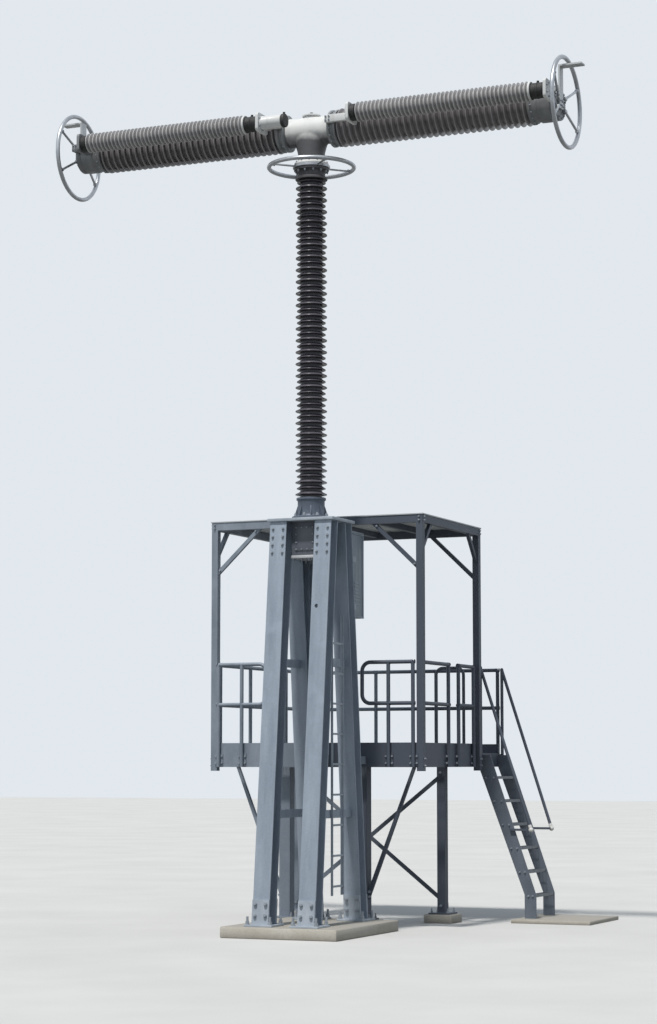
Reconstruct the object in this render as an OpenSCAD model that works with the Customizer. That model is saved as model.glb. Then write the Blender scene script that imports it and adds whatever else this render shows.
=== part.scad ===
// Live-tank double-break circuit breaker, one pole, on its steel support,
// with the mechanism cabinet and the covered access platform behind it.
// X runs along the two interrupter arms, Y goes back from the front columns
// to the platform, Z is up. The origin is on the ground under the pole axis.

/* [Foundation] */
// Plinth beyond the base plates along X
plinth_margin_x = 226; // [100:2:400]
// Plinth beyond the base plates along Y
plinth_margin_y = 70; // [40:2:200]
// Plinth height above the ground
plinth_h = 110; // [60:5:300]
// Height of the platform footings
footing_h = 90; // [40:5:250]
// Side of a platform footing
footing_w = 320; // [280:10:500]
// Height of the slab at the foot of the ladder
ladder_pad_h = 40; // [30:5:150]
// Length of the slab at the foot of the ladder
ladder_pad_len = 880; // [400:10:1400]
// Slab beyond each side of the ladder
ladder_pad_side = 200; // [60:10:400]

/* [Support columns] */
// Half the distance between columns along X
column_x = 244; // [220:2:300]
// Half the distance between columns along Y at their tops
top_y = 175; // [150:1:260]
// Half the distance between columns along Y at their feet
foot_y = 575; // [300:5:700]
// Width of a column flange
column_w = 180; // [140:2:200]
// Depth of a column section
column_d = 170; // [130:2:190]
// Thickness of a column flange
flange_t = 14; // [8:1:20]
// Thickness of a column web
web_t = 10; // [6:1:16]
// Height of the column tops above the ground
column_top = 4104; // [3600:10:4600]
// Side of a column base plate
base_plate_w = 300; // [280:5:360]
// Thickness of a base plate
base_plate_t = 20; // [10:1:40]
// Height of the cleats on a base plate
cleat_h = 240; // [120:5:300]
// Thickness of a cleat
cleat_t = 14; // [6:1:20]
// Thickness of the plate over the columns
top_plate_t = 30; // [16:1:50]
// Plate beyond the columns
top_plate_margin = 24; // [10:1:60]
// Height of the lower tie between front and rear columns
tie_low = 1150; // [800:10:1500]
// Height of the upper tie between front and rear columns
tie_high = 2650; // [2000:10:3000]
// Depth of a tie
tie_h = 80; // [40:2:120]

/* [Insulators] */
// Height of the flange under the support insulator
lower_flange_h = 222; // [160:2:300]
// Radius of the support insulator over its sheds
post_shed_r = 162; // [130:2:200]
// Radius of the support insulator core
post_core_r = 112; // [80:2:124]
// Height of the shedded length of the support insulator
post_len = 3276; // [2400:12:4200]
// Number of sheds modelled on the support insulator
post_sheds = 33; // [12:1:60]
// Radius of an interrupter over its sheds
arm_shed_r = 198; // [160:1:240]
// Radius of an interrupter core
arm_core_r = 150; // [100:1:156]
// Number of sheds modelled on an interrupter
arm_sheds = 20; // [8:1:40]
// Radius of a grading capacitor over its sheds
cap_shed_r = 102; // [84:1:130]
// Radius of a grading capacitor core
cap_core_r = 70; // [50:1:80]
// Number of sheds modelled on a capacitor
cap_sheds = 18; // [8:1:40]
// Free gap between an interrupter and its capacitor
cap_gap = 50; // [20:2:140]

/* [Head and arms] */
// Height of the interrupter axis over the foot of the head casting
head_rise = 366; // [300:2:500]
// Half the width of the head casting along X
head_x = 240; // [200:2:320]
// Radius of the head casting
head_r = 150; // [110:1:180]
// Thickness of the inner flange of an interrupter
inner_flange_t = 95; // [60:1:140]
// Distance from the pole axis to the end disc
arm_end = 2614; // [2000:2:3200]
// Length of the smooth metal end fitting
end_fitting_len = 226; // [160:2:320]
// Thickness of the end disc
end_disc_t = 62; // [30:1:90]
// Distance from the pole axis to the near end of the right capacitor
cap_inner_x = 596; // [480:2:800]
// Upward offset of a capacitor from its interrupter
cap_off_z = 45; // [0:1:120]
// Length of the black cap on a capacitor
cap_cap_len = 210; // [100:2:300]
// Reach of the bracket at the far end of the left capacitor
cap_arm_len = 166; // [80:2:260]
// Outer radius of an end ring
end_ring_r = 465; // [380:1:560]
// Distance of the ring plane from the end disc
ring_off = 61; // [45:1:120]
// Outer radius of the ring round the support insulator
post_ring_r = 458; // [360:2:560]
// Radius of the ring tube
ring_tube_r = 22; // [14:1:30]
// Reach of a line terminal from the end disc
terminal_reach = 240; // [180:5:320]
// Width of a line terminal
terminal_w = 110; // [90:2:130]

/* [Mechanism cabinet] */
// Half the width of the cabinet
cabinet_x = 270; // [220:2:330]
// Depth of the cabinet
cabinet_d = 340; // [260:4:440]
// Height of the cabinet
cabinet_h = 880; // [600:10:1000]
// Distance of the cabinet top under the column tops
cabinet_drop = 54; // [20:1:62]
// Gap between the cabinet and the rear columns at its foot
cabinet_gap = 40; // [10:1:80]
// Height of the gear housing
gear_h = 338; // [300:2:420]
// Depth of the gear housing
gear_d = 316; // [240:2:360]

/* [Platform] */
// Left edge of the deck
deck_left = -1416; // [-1700:4:-1100]
// Right edge of the deck
deck_right = 844; // [700:4:1100]
// Front edge of the deck, just behind the cabinet
deck_front = 740; // [660:4:800]
// Rear edge of the deck
deck_rear = 3250; // [3240:5:3600]
// Height of the walking surface
deck_z = 1800; // [1500:10:2200]
// Depth of the deck channels
channel_h = 150; // [120:5:220]
// Width of the deck channels
channel_w = 60; // [40:2:80]
// Thickness of the steel of the deck channels
channel_t = 9; // [6:1:12]
// Thickness of the grating
grating_t = 30; // [20:1:45]
// Distance between the bearing bars of the deck grating
grating_pitch = 107; // [90:1:140]
// Thickness of a bearing bar and of its end bands
grating_bar = 12; // [8:1:20]
// Height of the toe boards
toe_h = 100; // [80:5:150]
// Height of the top rail above the deck
rail_top = 940; // [880:10:1100]
// Height of the middle rail above the deck
rail_mid = 520; // [400:10:600]
// Radius of a rail tube
rail_r = 20; // [15:1:24]
// Radius of a bend in a rail tube
bend_r = 90; // [60:2:130]
// Half the distance between the front legs
front_leg_half = 436; // [300:4:600]
// Half the distance between the rear legs
rear_leg_half = 846; // [600:4:1000]
// Distance of the rear legs behind the front legs
leg_depth = 1200; // [900:10:1500]
// Side of a front leg
front_leg_w = 120; // [80:2:150]
// Side of a rear leg
rear_leg_w = 90; // [60:2:120]
// Reach of a strut from its front leg
strut_reach = 550; // [300:5:640]
// Height of the foot of a strut over the footing
strut_foot = 200; // [100:10:700]

/* [Canopy] */
// Side of a canopy post
canopy_post_w = 70; // [50:2:90]
// Gap between the cabinet top and the canopy beams
canopy_gap = 98; // [20:2:400]
// Distance from the front to the rear edge of the canopy
canopy_depth = 1736; // [1400:4:1800]
// Depth of the canopy edge beams
canopy_beam_h = 80; // [50:2:120]
// Width of the canopy edge beams
canopy_beam_w = 60; // [40:2:70]
// Thickness of the canopy sheet
canopy_sheet_t = 12; // [6:1:20]
// Canopy sheet beyond the beams
canopy_over = 8; // [0:1:60]
// Reach of a canopy knee brace along X
knee_reach_x = 500; // [250:10:700]
// Drop of a canopy knee brace along X
knee_drop_x = 475; // [250:5:700]
// Reach of a canopy knee brace along Y
knee_reach_y = 260; // [160:5:400]
// Drop of a canopy knee brace along Y
knee_drop_y = 300; // [160:5:400]

/* [Ladder] */
// Width of the ladder over its stringers
ladder_width = 630; // [440:5:640]
// Gap from the ladder to the rear edge of the deck
ladder_rear_gap = 50; // [40:5:60]
// Distance of the ladder foot from the deck edge
ladder_run = 510; // [300:5:700]
// Width of a ladder stringer
stringer_w = 130; // [90:2:160]
// Thickness of a ladder stringer
stringer_t = 10; // [6:1:16]
// Upright length at the foot of a stringer
stringer_foot = 250; // [120:5:400]
// Number of treads
tread_count = 6; // [4:1:8]
// Thickness of a tread
tread_t = 28; // [20:1:40]
// Radius of a handrail tube
hand_r = 17; // [12:1:22]

/* [Hidden] */
$fn = 0;
$fa = 12;
$fs = 4;

plate_top = column_top + top_plate_t;
column_foot = plinth_h + base_plate_t;
plinth_half_x = column_x + base_plate_w / 2 + plinth_margin_x;
plinth_half_y = foot_y + base_plate_w / 2 + plinth_margin_y;

post_z0 = plate_top + lower_flange_h;
post_z1 = post_z0 + post_len;
post_flange_r = post_core_r + 38;
post_collar_r = post_shed_r + 3;
collar_h = 28;
lower_plate_h = 32;
lower_plate_r = 215;
upper_flange_h = 122;
upper_plate_r = 180;
ring_plate_t = 26;
ring_plate_r = 192;
head_z0 = post_z1 + upper_flange_h + ring_plate_t;
head_z = head_z0 + head_rise;
head_flange_t = 30;
neck_r = head_r - 10;
head_boss_r = 96;
head_boss_h = 24;

arm_flange_r = arm_shed_r - 8;
arm_in = head_x + inner_flange_t;
arm_out = arm_end - end_fitting_len;
end_flange_t = 30;
end_body_r = arm_flange_r - 10;
end_disc_r = arm_flange_r - 15;
end_x = arm_end + end_disc_t;
lug_y = arm_shed_r + 7;
lug_edge = 12;
lug_h = 76;
lug_root = 60;
bracket_w = 50;

cap_off_y = arm_shed_r + cap_shed_r + cap_gap;
cap_plate_t = 30;
cap_plate_half = cap_shed_r - 6;
cap_disc_len = 60;
cap_disc_r = cap_shed_r - 8;
cap_cap_r = cap_shed_r - 2;
cap_total = end_x - cap_plate_t - cap_inner_x;
cap_left_x = cap_arm_len + cap_plate_t - end_x;
resistor_len = 270;
resistor_r = cap_core_r;

ring_x = end_x + ring_off;
ring_big = end_ring_r - ring_tube_r;
terminal_t = 16;
terminal_gap = 46;
terminal_rise = end_ring_r - 2 * ring_tube_r - terminal_gap;
terminal_foot = 60;
terminal_edge = 60;
hole_pitch = 50;
hole_r = 7;
spoke_r = 13;
spoke_foot = end_disc_r - 45;
spoke_boss_r = 24;
spoke_boss_h = 34;
ring_spoke_r = 10;

gear_x = column_x - column_w / 2 - 6;
gear_flange_t = 30;
gear_lip = 8;
cover_x = 100;
cover_top = 70;
cover_h = 190;
cabinet_top = column_top - cabinet_drop;
cabinet_z = cabinet_top - cabinet_h;
door_t = 22;
door_edge = 14;
rail_h = 60;
rail_low = 70;
rail_high = 330;
cable_x = column_x + 30;
cable_w = 26;
cable_half = 136;
rung_pitch = 300;

deck_bottom = deck_z - channel_h;
deck_mid = (deck_left + deck_right) / 2;
footing_gap = 45;
front_leg_y = plinth_half_y + footing_gap + footing_w / 2;
rear_leg_y = front_leg_y + leg_depth;
leg_plate_w = 240;
leg_plate_t = 16;
joist_w = 50;
brace_w = 56;
brace_t = 8;
brace_low = 60;
brace_high = 90;
toe_t = 8;
toe_joint = 2;
post_bracket_t = 8;
post_bracket_w = 90;
rail_axis = -post_bracket_t - rail_r + 4;
rail_clear = 30;
front_panel_in = 540;
front_post_in = 290;
side_panel_gap = 300;

canopy_beam_z = cabinet_top + canopy_gap;
canopy_z = canopy_beam_z + canopy_beam_h + canopy_sheet_t;
canopy_rear = deck_front + canopy_depth;
canopy_x0 = deck_left - canopy_post_w;
canopy_x1 = deck_right + canopy_post_w;

ladder_y1 = deck_rear - ladder_rear_gap;
ladder_y0 = ladder_y1 - ladder_width;
ladder_top = deck_z - 20;
ladder_x1 = deck_right + ladder_run;
ladder_knee_z = ladder_pad_h + stringer_foot;
hand_off = hand_r + 14;
hand_z = deck_z + rail_top - hand_r;
hand_x = deck_right + 36;
hand_rise = 940;
hand_low = ladder_pad_h + hand_rise;
hand_reach = ladder_run + 90;
hoop_reach = 480;
hoop_gap = 160;
hoop_x0 = deck_right - hoop_reach;
hoop_x1 = deck_right - hoop_gap;
hoop_bend = 80;

// Distance of a column's axis from the pole axis along Y at a height.
function column_y(z) = foot_y + (top_y - foot_y) * (z - column_foot) / (column_top - column_foot);

// Its outer and its inner face at a height.
function column_out(z) = column_y(z) + column_d / 2;
function column_in(z) = column_y(z) - column_d / 2;

cabinet_y0 = column_out(cabinet_z) + cabinet_gap;
cabinet_y1 = cabinet_y0 + cabinet_d;

// Which node to draw

// A box given by its low corner and its high corner.
module span(a, b) {
    translate(a) cube([b[0] - a[0], b[1] - a[1], b[2] - a[2]]);
}

// A box centred in X and Y on a point, standing on its Z.
module block(p, w, d, h) {
    translate([p[0] - w / 2, p[1] - d / 2, p[2]]) cube([w, d, h]);
}

// A round bar along X from x0 to x1.
module bar_x(x0, x1, y, z, r) {
    translate([x0, y, z]) rotate([0, 90, 0]) cylinder(h = x1 - x0, r = r);
}

// A round bar along Z from z0 to z1.
module bar_z(z0, z1, x, y, r) {
    translate([x, y, z0]) cylinder(h = z1 - z0, r = r);
}

// An outline drawn in Y and Z, drawn out along X from x0 to x1.
module outline_yz(x0, x1, points) {
    translate([x0, 0, 0]) rotate([90, 0, 90])
        linear_extrude(height = x1 - x0) polygon(points);
}

// An outline drawn in X and Z, drawn out along Y from y0 to y1.
module outline_xz(y0, y1, points) {
    translate([0, y1, 0]) rotate([90, 0, 0])
        linear_extrude(height = y1 - y0) polygon(points);
}

// A plate that leans with a rear column, from offset a to offset b off its axis.
module leaning(x0, x1, a, b, z0, z1) {
    outline_yz(x0, x1,
               [[column_y(z0) + a, z0], [column_y(z0) + b, z0],
                [column_y(z1) + b, z1], [column_y(z1) + a, z1]]);
}

// A rear column at the given X: two flanges and the web between them.
module column(x) {
    half = column_d / 2;
    leaning(x - column_w / 2, x + column_w / 2, -half, -half + flange_t, column_foot, column_top);
    leaning(x - column_w / 2, x + column_w / 2, half - flange_t, half, column_foot, column_top);
    leaning(x - web_t / 2, x + web_t / 2, -half + flange_t, half - flange_t, column_foot, column_top);
}

// An insulator along Z with evenly spaced sheds, open at both ends to its core.
module insulator(length, core, shed, count) {
    pitch = length / count;
    rotate_extrude()
        polygon(concat(
            [[0, 0], [core, 0]],
            [for (i = [0 : count - 1]) each [
                [core, pitch * (i + 0.12)],
                [shed, pitch * (i + 0.26)],
                [core, pitch * (i + 0.86)]]],
            [[core, length], [0, length]]));
}

module foundation_plinth() {
    color("gainsboro")
        block([0, 0, 0], 2 * plinth_half_x, 2 * plinth_half_y, plinth_h);
}

// Footings of the platform legs and the slab at the foot of the ladder.
module platform_footings() {
    x0 = ladder_x1 - 90;
    color("gainsboro") {
        for (s = [-1, 1]) {
            block([deck_mid + s * front_leg_half, front_leg_y, 0], footing_w, footing_w, footing_h);
            block([deck_mid + s * rear_leg_half, rear_leg_y, 0], footing_w, footing_w, footing_h);
        }
        span([x0, ladder_y0 - ladder_pad_side, 0],
             [x0 + ladder_pad_len, ladder_y1 + ladder_pad_side, ladder_pad_h]);
    }
}

// A rear base plate with a cleat on each side of its column.
module base_plate(x) {
    half = column_d / 2;
    block([x, foot_y, plinth_h], base_plate_w, base_plate_w, base_plate_t);
    leaning(x - column_w / 2, x + column_w / 2, half, half + cleat_t,
            column_foot, column_foot + cleat_h);
    leaning(x - column_w / 2, x + column_w / 2, -half - cleat_t, -half,
            column_foot, column_foot + cleat_h);
}

module column_base_plates() {
    color("silver")
        for (x = [-column_x, column_x]) {
            base_plate(x);
            mirror([0, 1, 0]) base_plate(x);
        }
}

module front_left_column() {
    color("lightsteelblue") mirror([0, 1, 0]) column(-column_x);
}

module front_right_column() {
    color("lightsteelblue") mirror([0, 1, 0]) column(column_x);
}

module rear_left_column() {
    color("lightsteelblue") column(-column_x);
}

module rear_right_column() {
    color("lightsteelblue") column(column_x);
}

// Flat ties between the front and rear column of each side, and the angles
// that hold the front of the deck to the rear columns.
module column_ties() {
    deck_tie = deck_bottom + 30;
    color("silver")
        for (x = [-column_x, column_x]) {
            for (z = [tie_low, tie_high])
                outline_yz(x - 30, x + 30,
                           [[-column_in(z), z], [column_in(z), z],
                            [column_in(z + tie_h), z + tie_h],
                            [-column_in(z + tie_h), z + tie_h]]);
            outline_yz(x - 40, x + 40,
                       [[column_out(deck_tie), deck_tie], [deck_front, deck_tie],
                        [deck_front, deck_tie + tie_h],
                        [column_out(deck_tie + tie_h), deck_tie + tie_h]]);
        }
}

module support_top_plate() {
    reach_x = column_x + column_w / 2 + top_plate_margin;
    reach_y = top_y + column_d / 2 + top_plate_margin;
    color("silver")
        block([0, 0, column_top], 2 * reach_x, 2 * reach_y, top_plate_t);
}

// Housing of the gear that turns the drive rod's pull up into the pole.
module gear_housing() {
    z = column_top - gear_h;
    color("darkgray") {
        block([0, 0, z], 2 * gear_x, gear_d, gear_h);
        block([0, 0, z - gear_flange_t], 2 * gear_x + 4, gear_d + 2 * gear_lip, gear_flange_t);
    }
}

module linkage_cover() {
    color("gray")
        span([-cover_x, gear_d / 2, column_top - cover_top - cover_h],
             [cover_x, cabinet_y0, column_top - cover_top]);
}

// Brackets between the leaning rear columns and the upright back of the cabinet.
module cabinet_rails() {
    reach = column_x + column_w / 2 - 10;
    color("silver")
        for (z = [cabinet_z + rail_low, cabinet_top - rail_high])
            outline_yz(-reach, reach,
                       [[column_out(z), z], [cabinet_y0, z], [cabinet_y0, z + rail_h],
                        [column_out(z + rail_h), z + rail_h]]);
}

module drive_cabinet() {
    color("darkgray")
        span([-cabinet_x, cabinet_y0, cabinet_z], [cabinet_x, cabinet_y1, cabinet_top]);
}

module cabinet_door() {
    mid = (cabinet_z + cabinet_top) / 2;
    color("gray") {
        span([-cabinet_x + door_edge, cabinet_y1, cabinet_z + door_edge],
             [cabinet_x - door_edge, cabinet_y1 + door_t, cabinet_top - door_edge]);
        bar_z(mid - 60, mid + 60, cabinet_x - 60, cabinet_y1 + door_t, 12);
    }
}

module cable_ladder() {
    z0 = column_foot + cleat_h + 20;
    color("silver") {
        for (y = [-cable_half, cable_half - 30])
            span([cable_x, y, z0], [cable_x + cable_w, y + 30, cabinet_z]);
        for (z = [z0 + 80 : rung_pitch : cabinet_z - 100])
            span([cable_x + 3, -cable_half + 29, z],
                 [cable_x + cable_w - 3, cable_half - 29, z + 20]);
    }
}

module lower_flange() {
    color("lightgray") {
        bar_z(plate_top, plate_top + lower_plate_h, 0, 0, lower_plate_r);
        bar_z(plate_top + lower_plate_h, post_z0 - collar_h, 0, 0, post_flange_r);
        bar_z(post_z0 - collar_h, post_z0, 0, 0, post_collar_r);
    }
}

module support_insulator() {
    color("rosybrown")
        translate([0, 0, post_z0])
            insulator(post_len, post_core_r, post_shed_r, post_sheds);
}

module upper_flange() {
    color("lightgray") {
        bar_z(post_z1, post_z1 + collar_h, 0, 0, post_collar_r);
        bar_z(post_z1 + collar_h, post_z1 + upper_flange_h - collar_h, 0, 0, post_flange_r - 10);
        bar_z(post_z1 + upper_flange_h - collar_h, post_z1 + upper_flange_h, 0, 0, upper_plate_r);
    }
}

// Ring round the top of the support insulator, held by a flat plate.
module post_ring() {
    z = post_z1 + upper_flange_h;
    big = post_ring_r - ring_tube_r;
    color("gainsboro") {
        bar_z(z, z + ring_plate_t, 0, 0, ring_plate_r);
        translate([0, 0, z + ring_plate_t / 2])
            rotate_extrude() translate([big, 0]) circle(r = ring_tube_r);
        for (a = [45, 135, 225, 315])
            rotate([0, 0, a])
                bar_x(ring_plate_r - 12, big, 0, z + ring_plate_t / 2, ring_spoke_r);
    }
}

module head_casting() {
    color("whitesmoke") {
        bar_z(head_z0, head_z0 + head_flange_t, 0, 0, upper_plate_r);
        bar_z(head_z0 + head_flange_t, head_z, 0, 0, neck_r);
        bar_x(-head_x, head_x, 0, head_z, head_r);
        bar_z(head_z, head_z + head_r + head_boss_h, 0, 0, head_boss_r);
    }
}

// A flat pad on a flange, that a capacitor bracket is bolted to.
module lug(x0, x1) {
    z = head_z + cap_off_z;
    span([x0, -lug_y, z - lug_h / 2], [x1, -lug_root, z + lug_h / 2]);
}

// One arm is drawn to the right and turned over for the left.
module interrupter() {
    bar_x(head_x, arm_in, 0, head_z, arm_flange_r);
    lug(head_x + lug_edge, arm_in - lug_edge);
    translate([arm_in, 0, head_z]) rotate([0, 90, 0])
        insulator(arm_out - arm_in, arm_core_r, arm_shed_r, arm_sheds);
}

module end_fitting() {
    bar_x(arm_out, arm_out + end_flange_t, 0, head_z, arm_flange_r);
    bar_x(arm_out + end_flange_t, arm_end, 0, head_z, end_body_r);
    bar_x(arm_end, end_x, 0, head_z, end_disc_r);
    lug(arm_end, end_x);
}

// A capacitor from its disc at x to its black cap, the same part on both arms.
module capacitor(x) {
    y = -cap_off_y;
    z = head_z + cap_off_z;
    bar_x(x, x + cap_disc_len, y, z, cap_disc_r);
    translate([x + cap_disc_len, y, z]) rotate([0, 90, 0])
        insulator(cap_total - cap_disc_len - cap_cap_len, cap_core_r, cap_shed_r, cap_sheds);
    bar_x(x + cap_total - cap_cap_len, x + cap_total, y, z, cap_cap_r);
}

// The upright plate on an end of a capacitor.
module bracket_plate(x) {
    z = head_z + cap_off_z;
    span([x, -cap_off_y - cap_plate_half, z - cap_plate_half],
         [x + cap_plate_t, -lug_y, z + cap_plate_half]);
}

// The level arm of a bracket, along the interrupter from x0 to x1.
module bracket_arm(x0, x1) {
    z = head_z + cap_off_z;
    span([x0, -lug_y - bracket_w, z - lug_h / 2], [x1, -lug_y, z + lug_h / 2]);
}

module capacitor_brackets() {
    left_end = cap_left_x + cap_total;
    color("whitesmoke") {
        bracket_arm(head_x + lug_edge, cap_inner_x);
        bracket_plate(cap_inner_x - cap_plate_t);
        bracket_plate(end_x - cap_plate_t);
        bracket_arm(-end_x, cap_left_x);
        bracket_plate(cap_left_x - cap_plate_t);
        bracket_plate(left_end);
        bracket_arm(left_end, -head_x - lug_edge);
        bar_x(left_end + cap_plate_t, left_end + cap_plate_t + resistor_len,
              -cap_off_y, head_z + cap_off_z, resistor_r);
    }
}

// Bent flat bar whose pad takes the line lug on four bolts.
module terminal() {
    half = terminal_w / 2;
    pad_z = head_z + terminal_rise;
    difference() {
        union() {
            span([end_x, -half, head_z - terminal_foot], [end_x + terminal_t, half, pad_z]);
            span([end_x, -half, pad_z - terminal_t], [end_x + terminal_reach, half, pad_z]);
        }
        for (dx = [-1, 1])
            for (dy = [-1, 1])
                bar_z(pad_z - terminal_t - 1, pad_z + 1,
                      end_x + terminal_reach - terminal_edge + dx * hole_pitch / 2,
                      dy * hole_pitch / 2, hole_r);
    }
}

// A boss on the end disc and the spoke that slopes out from it to the ring.
module ring_spoke() {
    out = ring_big - spoke_foot;
    along = ring_off - spoke_boss_h / 2;
    bar_x(end_x, end_x + spoke_boss_h, spoke_foot, 0, spoke_boss_r);
    translate([end_x + spoke_boss_h / 2, spoke_foot, 0])
        rotate([-90, 0, -atan(along / out)])
            cylinder(h = sqrt(along * along + out * out), r = spoke_r);
}

module end_ring() {
    translate([ring_x, 0, head_z]) rotate([0, 90, 0])
        rotate_extrude() translate([ring_big, 0]) circle(r = ring_tube_r);
    for (a = [30, 150, 210, 330])
        translate([0, 0, head_z]) rotate([a, 0, 0]) ring_spoke();
}

module right_interrupter() {
    color("rosybrown") interrupter();
}

module left_interrupter() {
    color("rosybrown") mirror([1, 0, 0]) interrupter();
}

module right_end_fitting() {
    color("lightgray") end_fitting();
}

module left_end_fitting() {
    color("lightgray") mirror([1, 0, 0]) end_fitting();
}

module right_capacitor() {
    color("dimgray") capacitor(cap_inner_x);
}

module left_capacitor() {
    color("dimgray") capacitor(cap_left_x);
}

module line_terminals() {
    color("silver") {
        terminal();
        mirror([1, 0, 0]) terminal();
    }
}

module end_rings() {
    color("gainsboro") {
        end_ring();
        mirror([1, 0, 0]) end_ring();
    }
}

module leg(x, y, w) {
    block([x, y, footing_h], leg_plate_w, leg_plate_w, leg_plate_t);
    block([x, y, footing_h + leg_plate_t], w, w, deck_bottom - footing_h - leg_plate_t);
}

module platform_legs() {
    color("slategray")
        for (s = [-1, 1]) {
            leg(deck_mid + s * front_leg_half, front_leg_y, front_leg_w);
            leg(deck_mid + s * rear_leg_half, rear_leg_y, rear_leg_w);
        }
}

// A sloping flat between the rear legs, one face at y.
module cross_flat(x0, z0, x1, z1, y) {
    outline_xz(y, y + brace_t, [[x0, z0], [x0, z0 + brace_w], [x1, z1 + brace_w], [x1, z1]]);
}

// Crossed flats between the rear legs and a strut outside each front leg.
module platform_braces() {
    x0 = deck_mid - rear_leg_half - rear_leg_w / 2;
    x1 = deck_mid + rear_leg_half + rear_leg_w / 2;
    low = footing_h + brace_low;
    high = deck_bottom - brace_high;
    leg_face = front_leg_half + front_leg_w / 2;
    foot = footing_h + strut_foot;
    color("slategray") {
        cross_flat(x0, low, x1, high, rear_leg_y - rear_leg_w / 2 - brace_t);
        cross_flat(x0, high, x1, low, rear_leg_y + rear_leg_w / 2);
        translate([deck_mid, 0, 0])
            for (s = [0, 1]) mirror([s, 0, 0])
                outline_xz(front_leg_y - 20, front_leg_y + 20,
                           [[leg_face, foot], [leg_face, foot + 2 * brace_w],
                            [front_leg_half + strut_reach, deck_bottom],
                            [front_leg_half + strut_reach + 30, deck_bottom]]);
    }
}

// Edge channels, open to the inside, with the joists between them.
module deck_frame() {
    joists = [front_leg_y, (front_leg_y + rear_leg_y) / 2, rear_leg_y,
              (rear_leg_y + deck_rear) / 2];
    color("slategray") {
        difference() {
            span([deck_left, deck_front, deck_bottom], [deck_right, deck_rear, deck_z]);
            span([deck_left + channel_w, deck_front + channel_w, deck_bottom - 1],
                 [deck_right - channel_w, deck_rear - channel_w, deck_z + 1]);
            span([deck_left + channel_t, deck_front + channel_t, deck_bottom + channel_t],
                 [deck_right - channel_t, deck_rear - channel_t, deck_z - channel_t]);
        }
        for (y = joists) {
            span([deck_left + channel_t, y - joist_w / 2, deck_bottom + channel_t],
                 [deck_right - channel_t, y + joist_w / 2, deck_z - grating_t]);
            span([deck_left + channel_w, y - joist_w / 2, deck_bottom],
                 [deck_right - channel_w, y + joist_w / 2, deck_z - grating_t]);
        }
    }
}

// Two lengths of upright bearing bars, held by flat bands at their ends.
module deck_grating() {
    x0 = deck_left + channel_w;
    x1 = deck_right - channel_w;
    y0 = deck_front + channel_w;
    y1 = deck_rear - channel_w;
    bays = round((x1 - x0 - grating_bar) / grating_pitch);
    step = (x1 - x0 - grating_bar) / bays;
    reach = (y1 - y0 - grating_bar) / 2;
    color("silver")
        difference() {
            span([x0, y0, deck_z - grating_t], [x1, y1, deck_z]);
            for (i = [0 : bays - 1], j = [0, 1])
                span([x0 + i * step + grating_bar, y0 + j * reach + grating_bar,
                      deck_z - grating_t - 1],
                     [x0 + (i + 1) * step, y0 + (j + 1) * reach, deck_z + 1]);
        }
}

// Straight boards along the deck edges, with a joint at each corner and the
// way in from the ladder left open.
module toe_boards() {
    side0 = deck_front + toe_t + toe_joint;
    side1 = deck_rear - toe_t - toe_joint;
    top = deck_z + toe_h;
    color("slategray") {
        span([deck_left, deck_front, deck_z], [deck_right, deck_front + toe_t, top]);
        span([deck_left, deck_rear - toe_t, deck_z], [deck_right, deck_rear, top]);
        span([deck_left, side0, deck_z], [deck_left + toe_t, side1, top]);
        span([deck_right - toe_t, side0, deck_z], [deck_right, ladder_y0, top]);
        span([deck_right - toe_t, ladder_y1, deck_z], [deck_right, side1, top]);
    }
}

// A quarter bend in the XZ plane about a point; turn 0 is at the top right.
module elbow(x, z, turn) {
    translate([x, rail_axis, z]) rotate([90, turn, 0])
        rotate_extrude(angle = 90) translate([bend_r, 0]) circle(r = rail_r);
}

// A rail post on the outer face of a deck side, with its bolting plate.
// The side is at local y = 0 and the post stands on the -y side of it.
module rail_post(x) {
    span([x - post_bracket_w / 2, -post_bracket_t, deck_bottom + 10],
         [x + post_bracket_w / 2, 0, deck_z - 10]);
    bar_z(deck_bottom, deck_z + rail_top - rail_r, x, rail_axis, rail_r);
}

// A panel of top and middle rail from x0 to x1 with posts at the places given.
// An end marked 1 is closed by two bends, an end marked 0 stops at its post.
module rail_panel(x0, x1, bend0, bend1, posts) {
    z1 = deck_z + rail_top - rail_r;
    z0 = deck_z + rail_mid - rail_r;
    for (z = [z0, z1])
        bar_x(x0 + bend0 * bend_r, x1 - bend1 * bend_r, rail_axis, z, rail_r);
    if (bend0 == 1) {
        elbow(x0 + bend_r, z1 - bend_r, 270);
        elbow(x0 + bend_r, z0 + bend_r, 180);
        bar_z(z0 + bend_r, z1 - bend_r, x0, rail_axis, rail_r);
    }
    if (bend1 == 1) {
        elbow(x1 - bend_r, z1 - bend_r, 0);
        elbow(x1 - bend_r, z0 + bend_r, 90);
        bar_z(z0 + bend_r, z1 - bend_r, x1, rail_axis, rail_r);
    }
    for (x = posts) rail_post(x);
}

// Two panels, with the bent ends towards the columns.
module front_guardrails() {
    inner = front_panel_in;
    outer = deck_right - deck_mid - rail_clear;
    color("slategray")
        translate([deck_mid, deck_front, 0]) {
            rail_panel(inner, outer, 1, 0, [inner + front_post_in, outer]);
            rail_panel(-outer, -inner, 0, 1, [-outer, -inner - front_post_in]);
        }
}

// A panel from the front corner to the middle and one up to the ladder.
module right_guardrail() {
    a0 = deck_front + canopy_post_w + 2 * rail_clear;
    b1 = canopy_rear - canopy_post_w - 2 * rail_clear;
    m0 = (a0 + b1) / 2 - 20;
    m1 = m0 + side_panel_gap;
    color("slategray")
        translate([deck_right, 0, 0]) rotate([0, 0, 90]) {
            rail_panel(a0, m0, 0, 0, [a0, m0]);
            rail_panel(m1, b1, 0, 0, [m1, b1]);
        }
}

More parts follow.
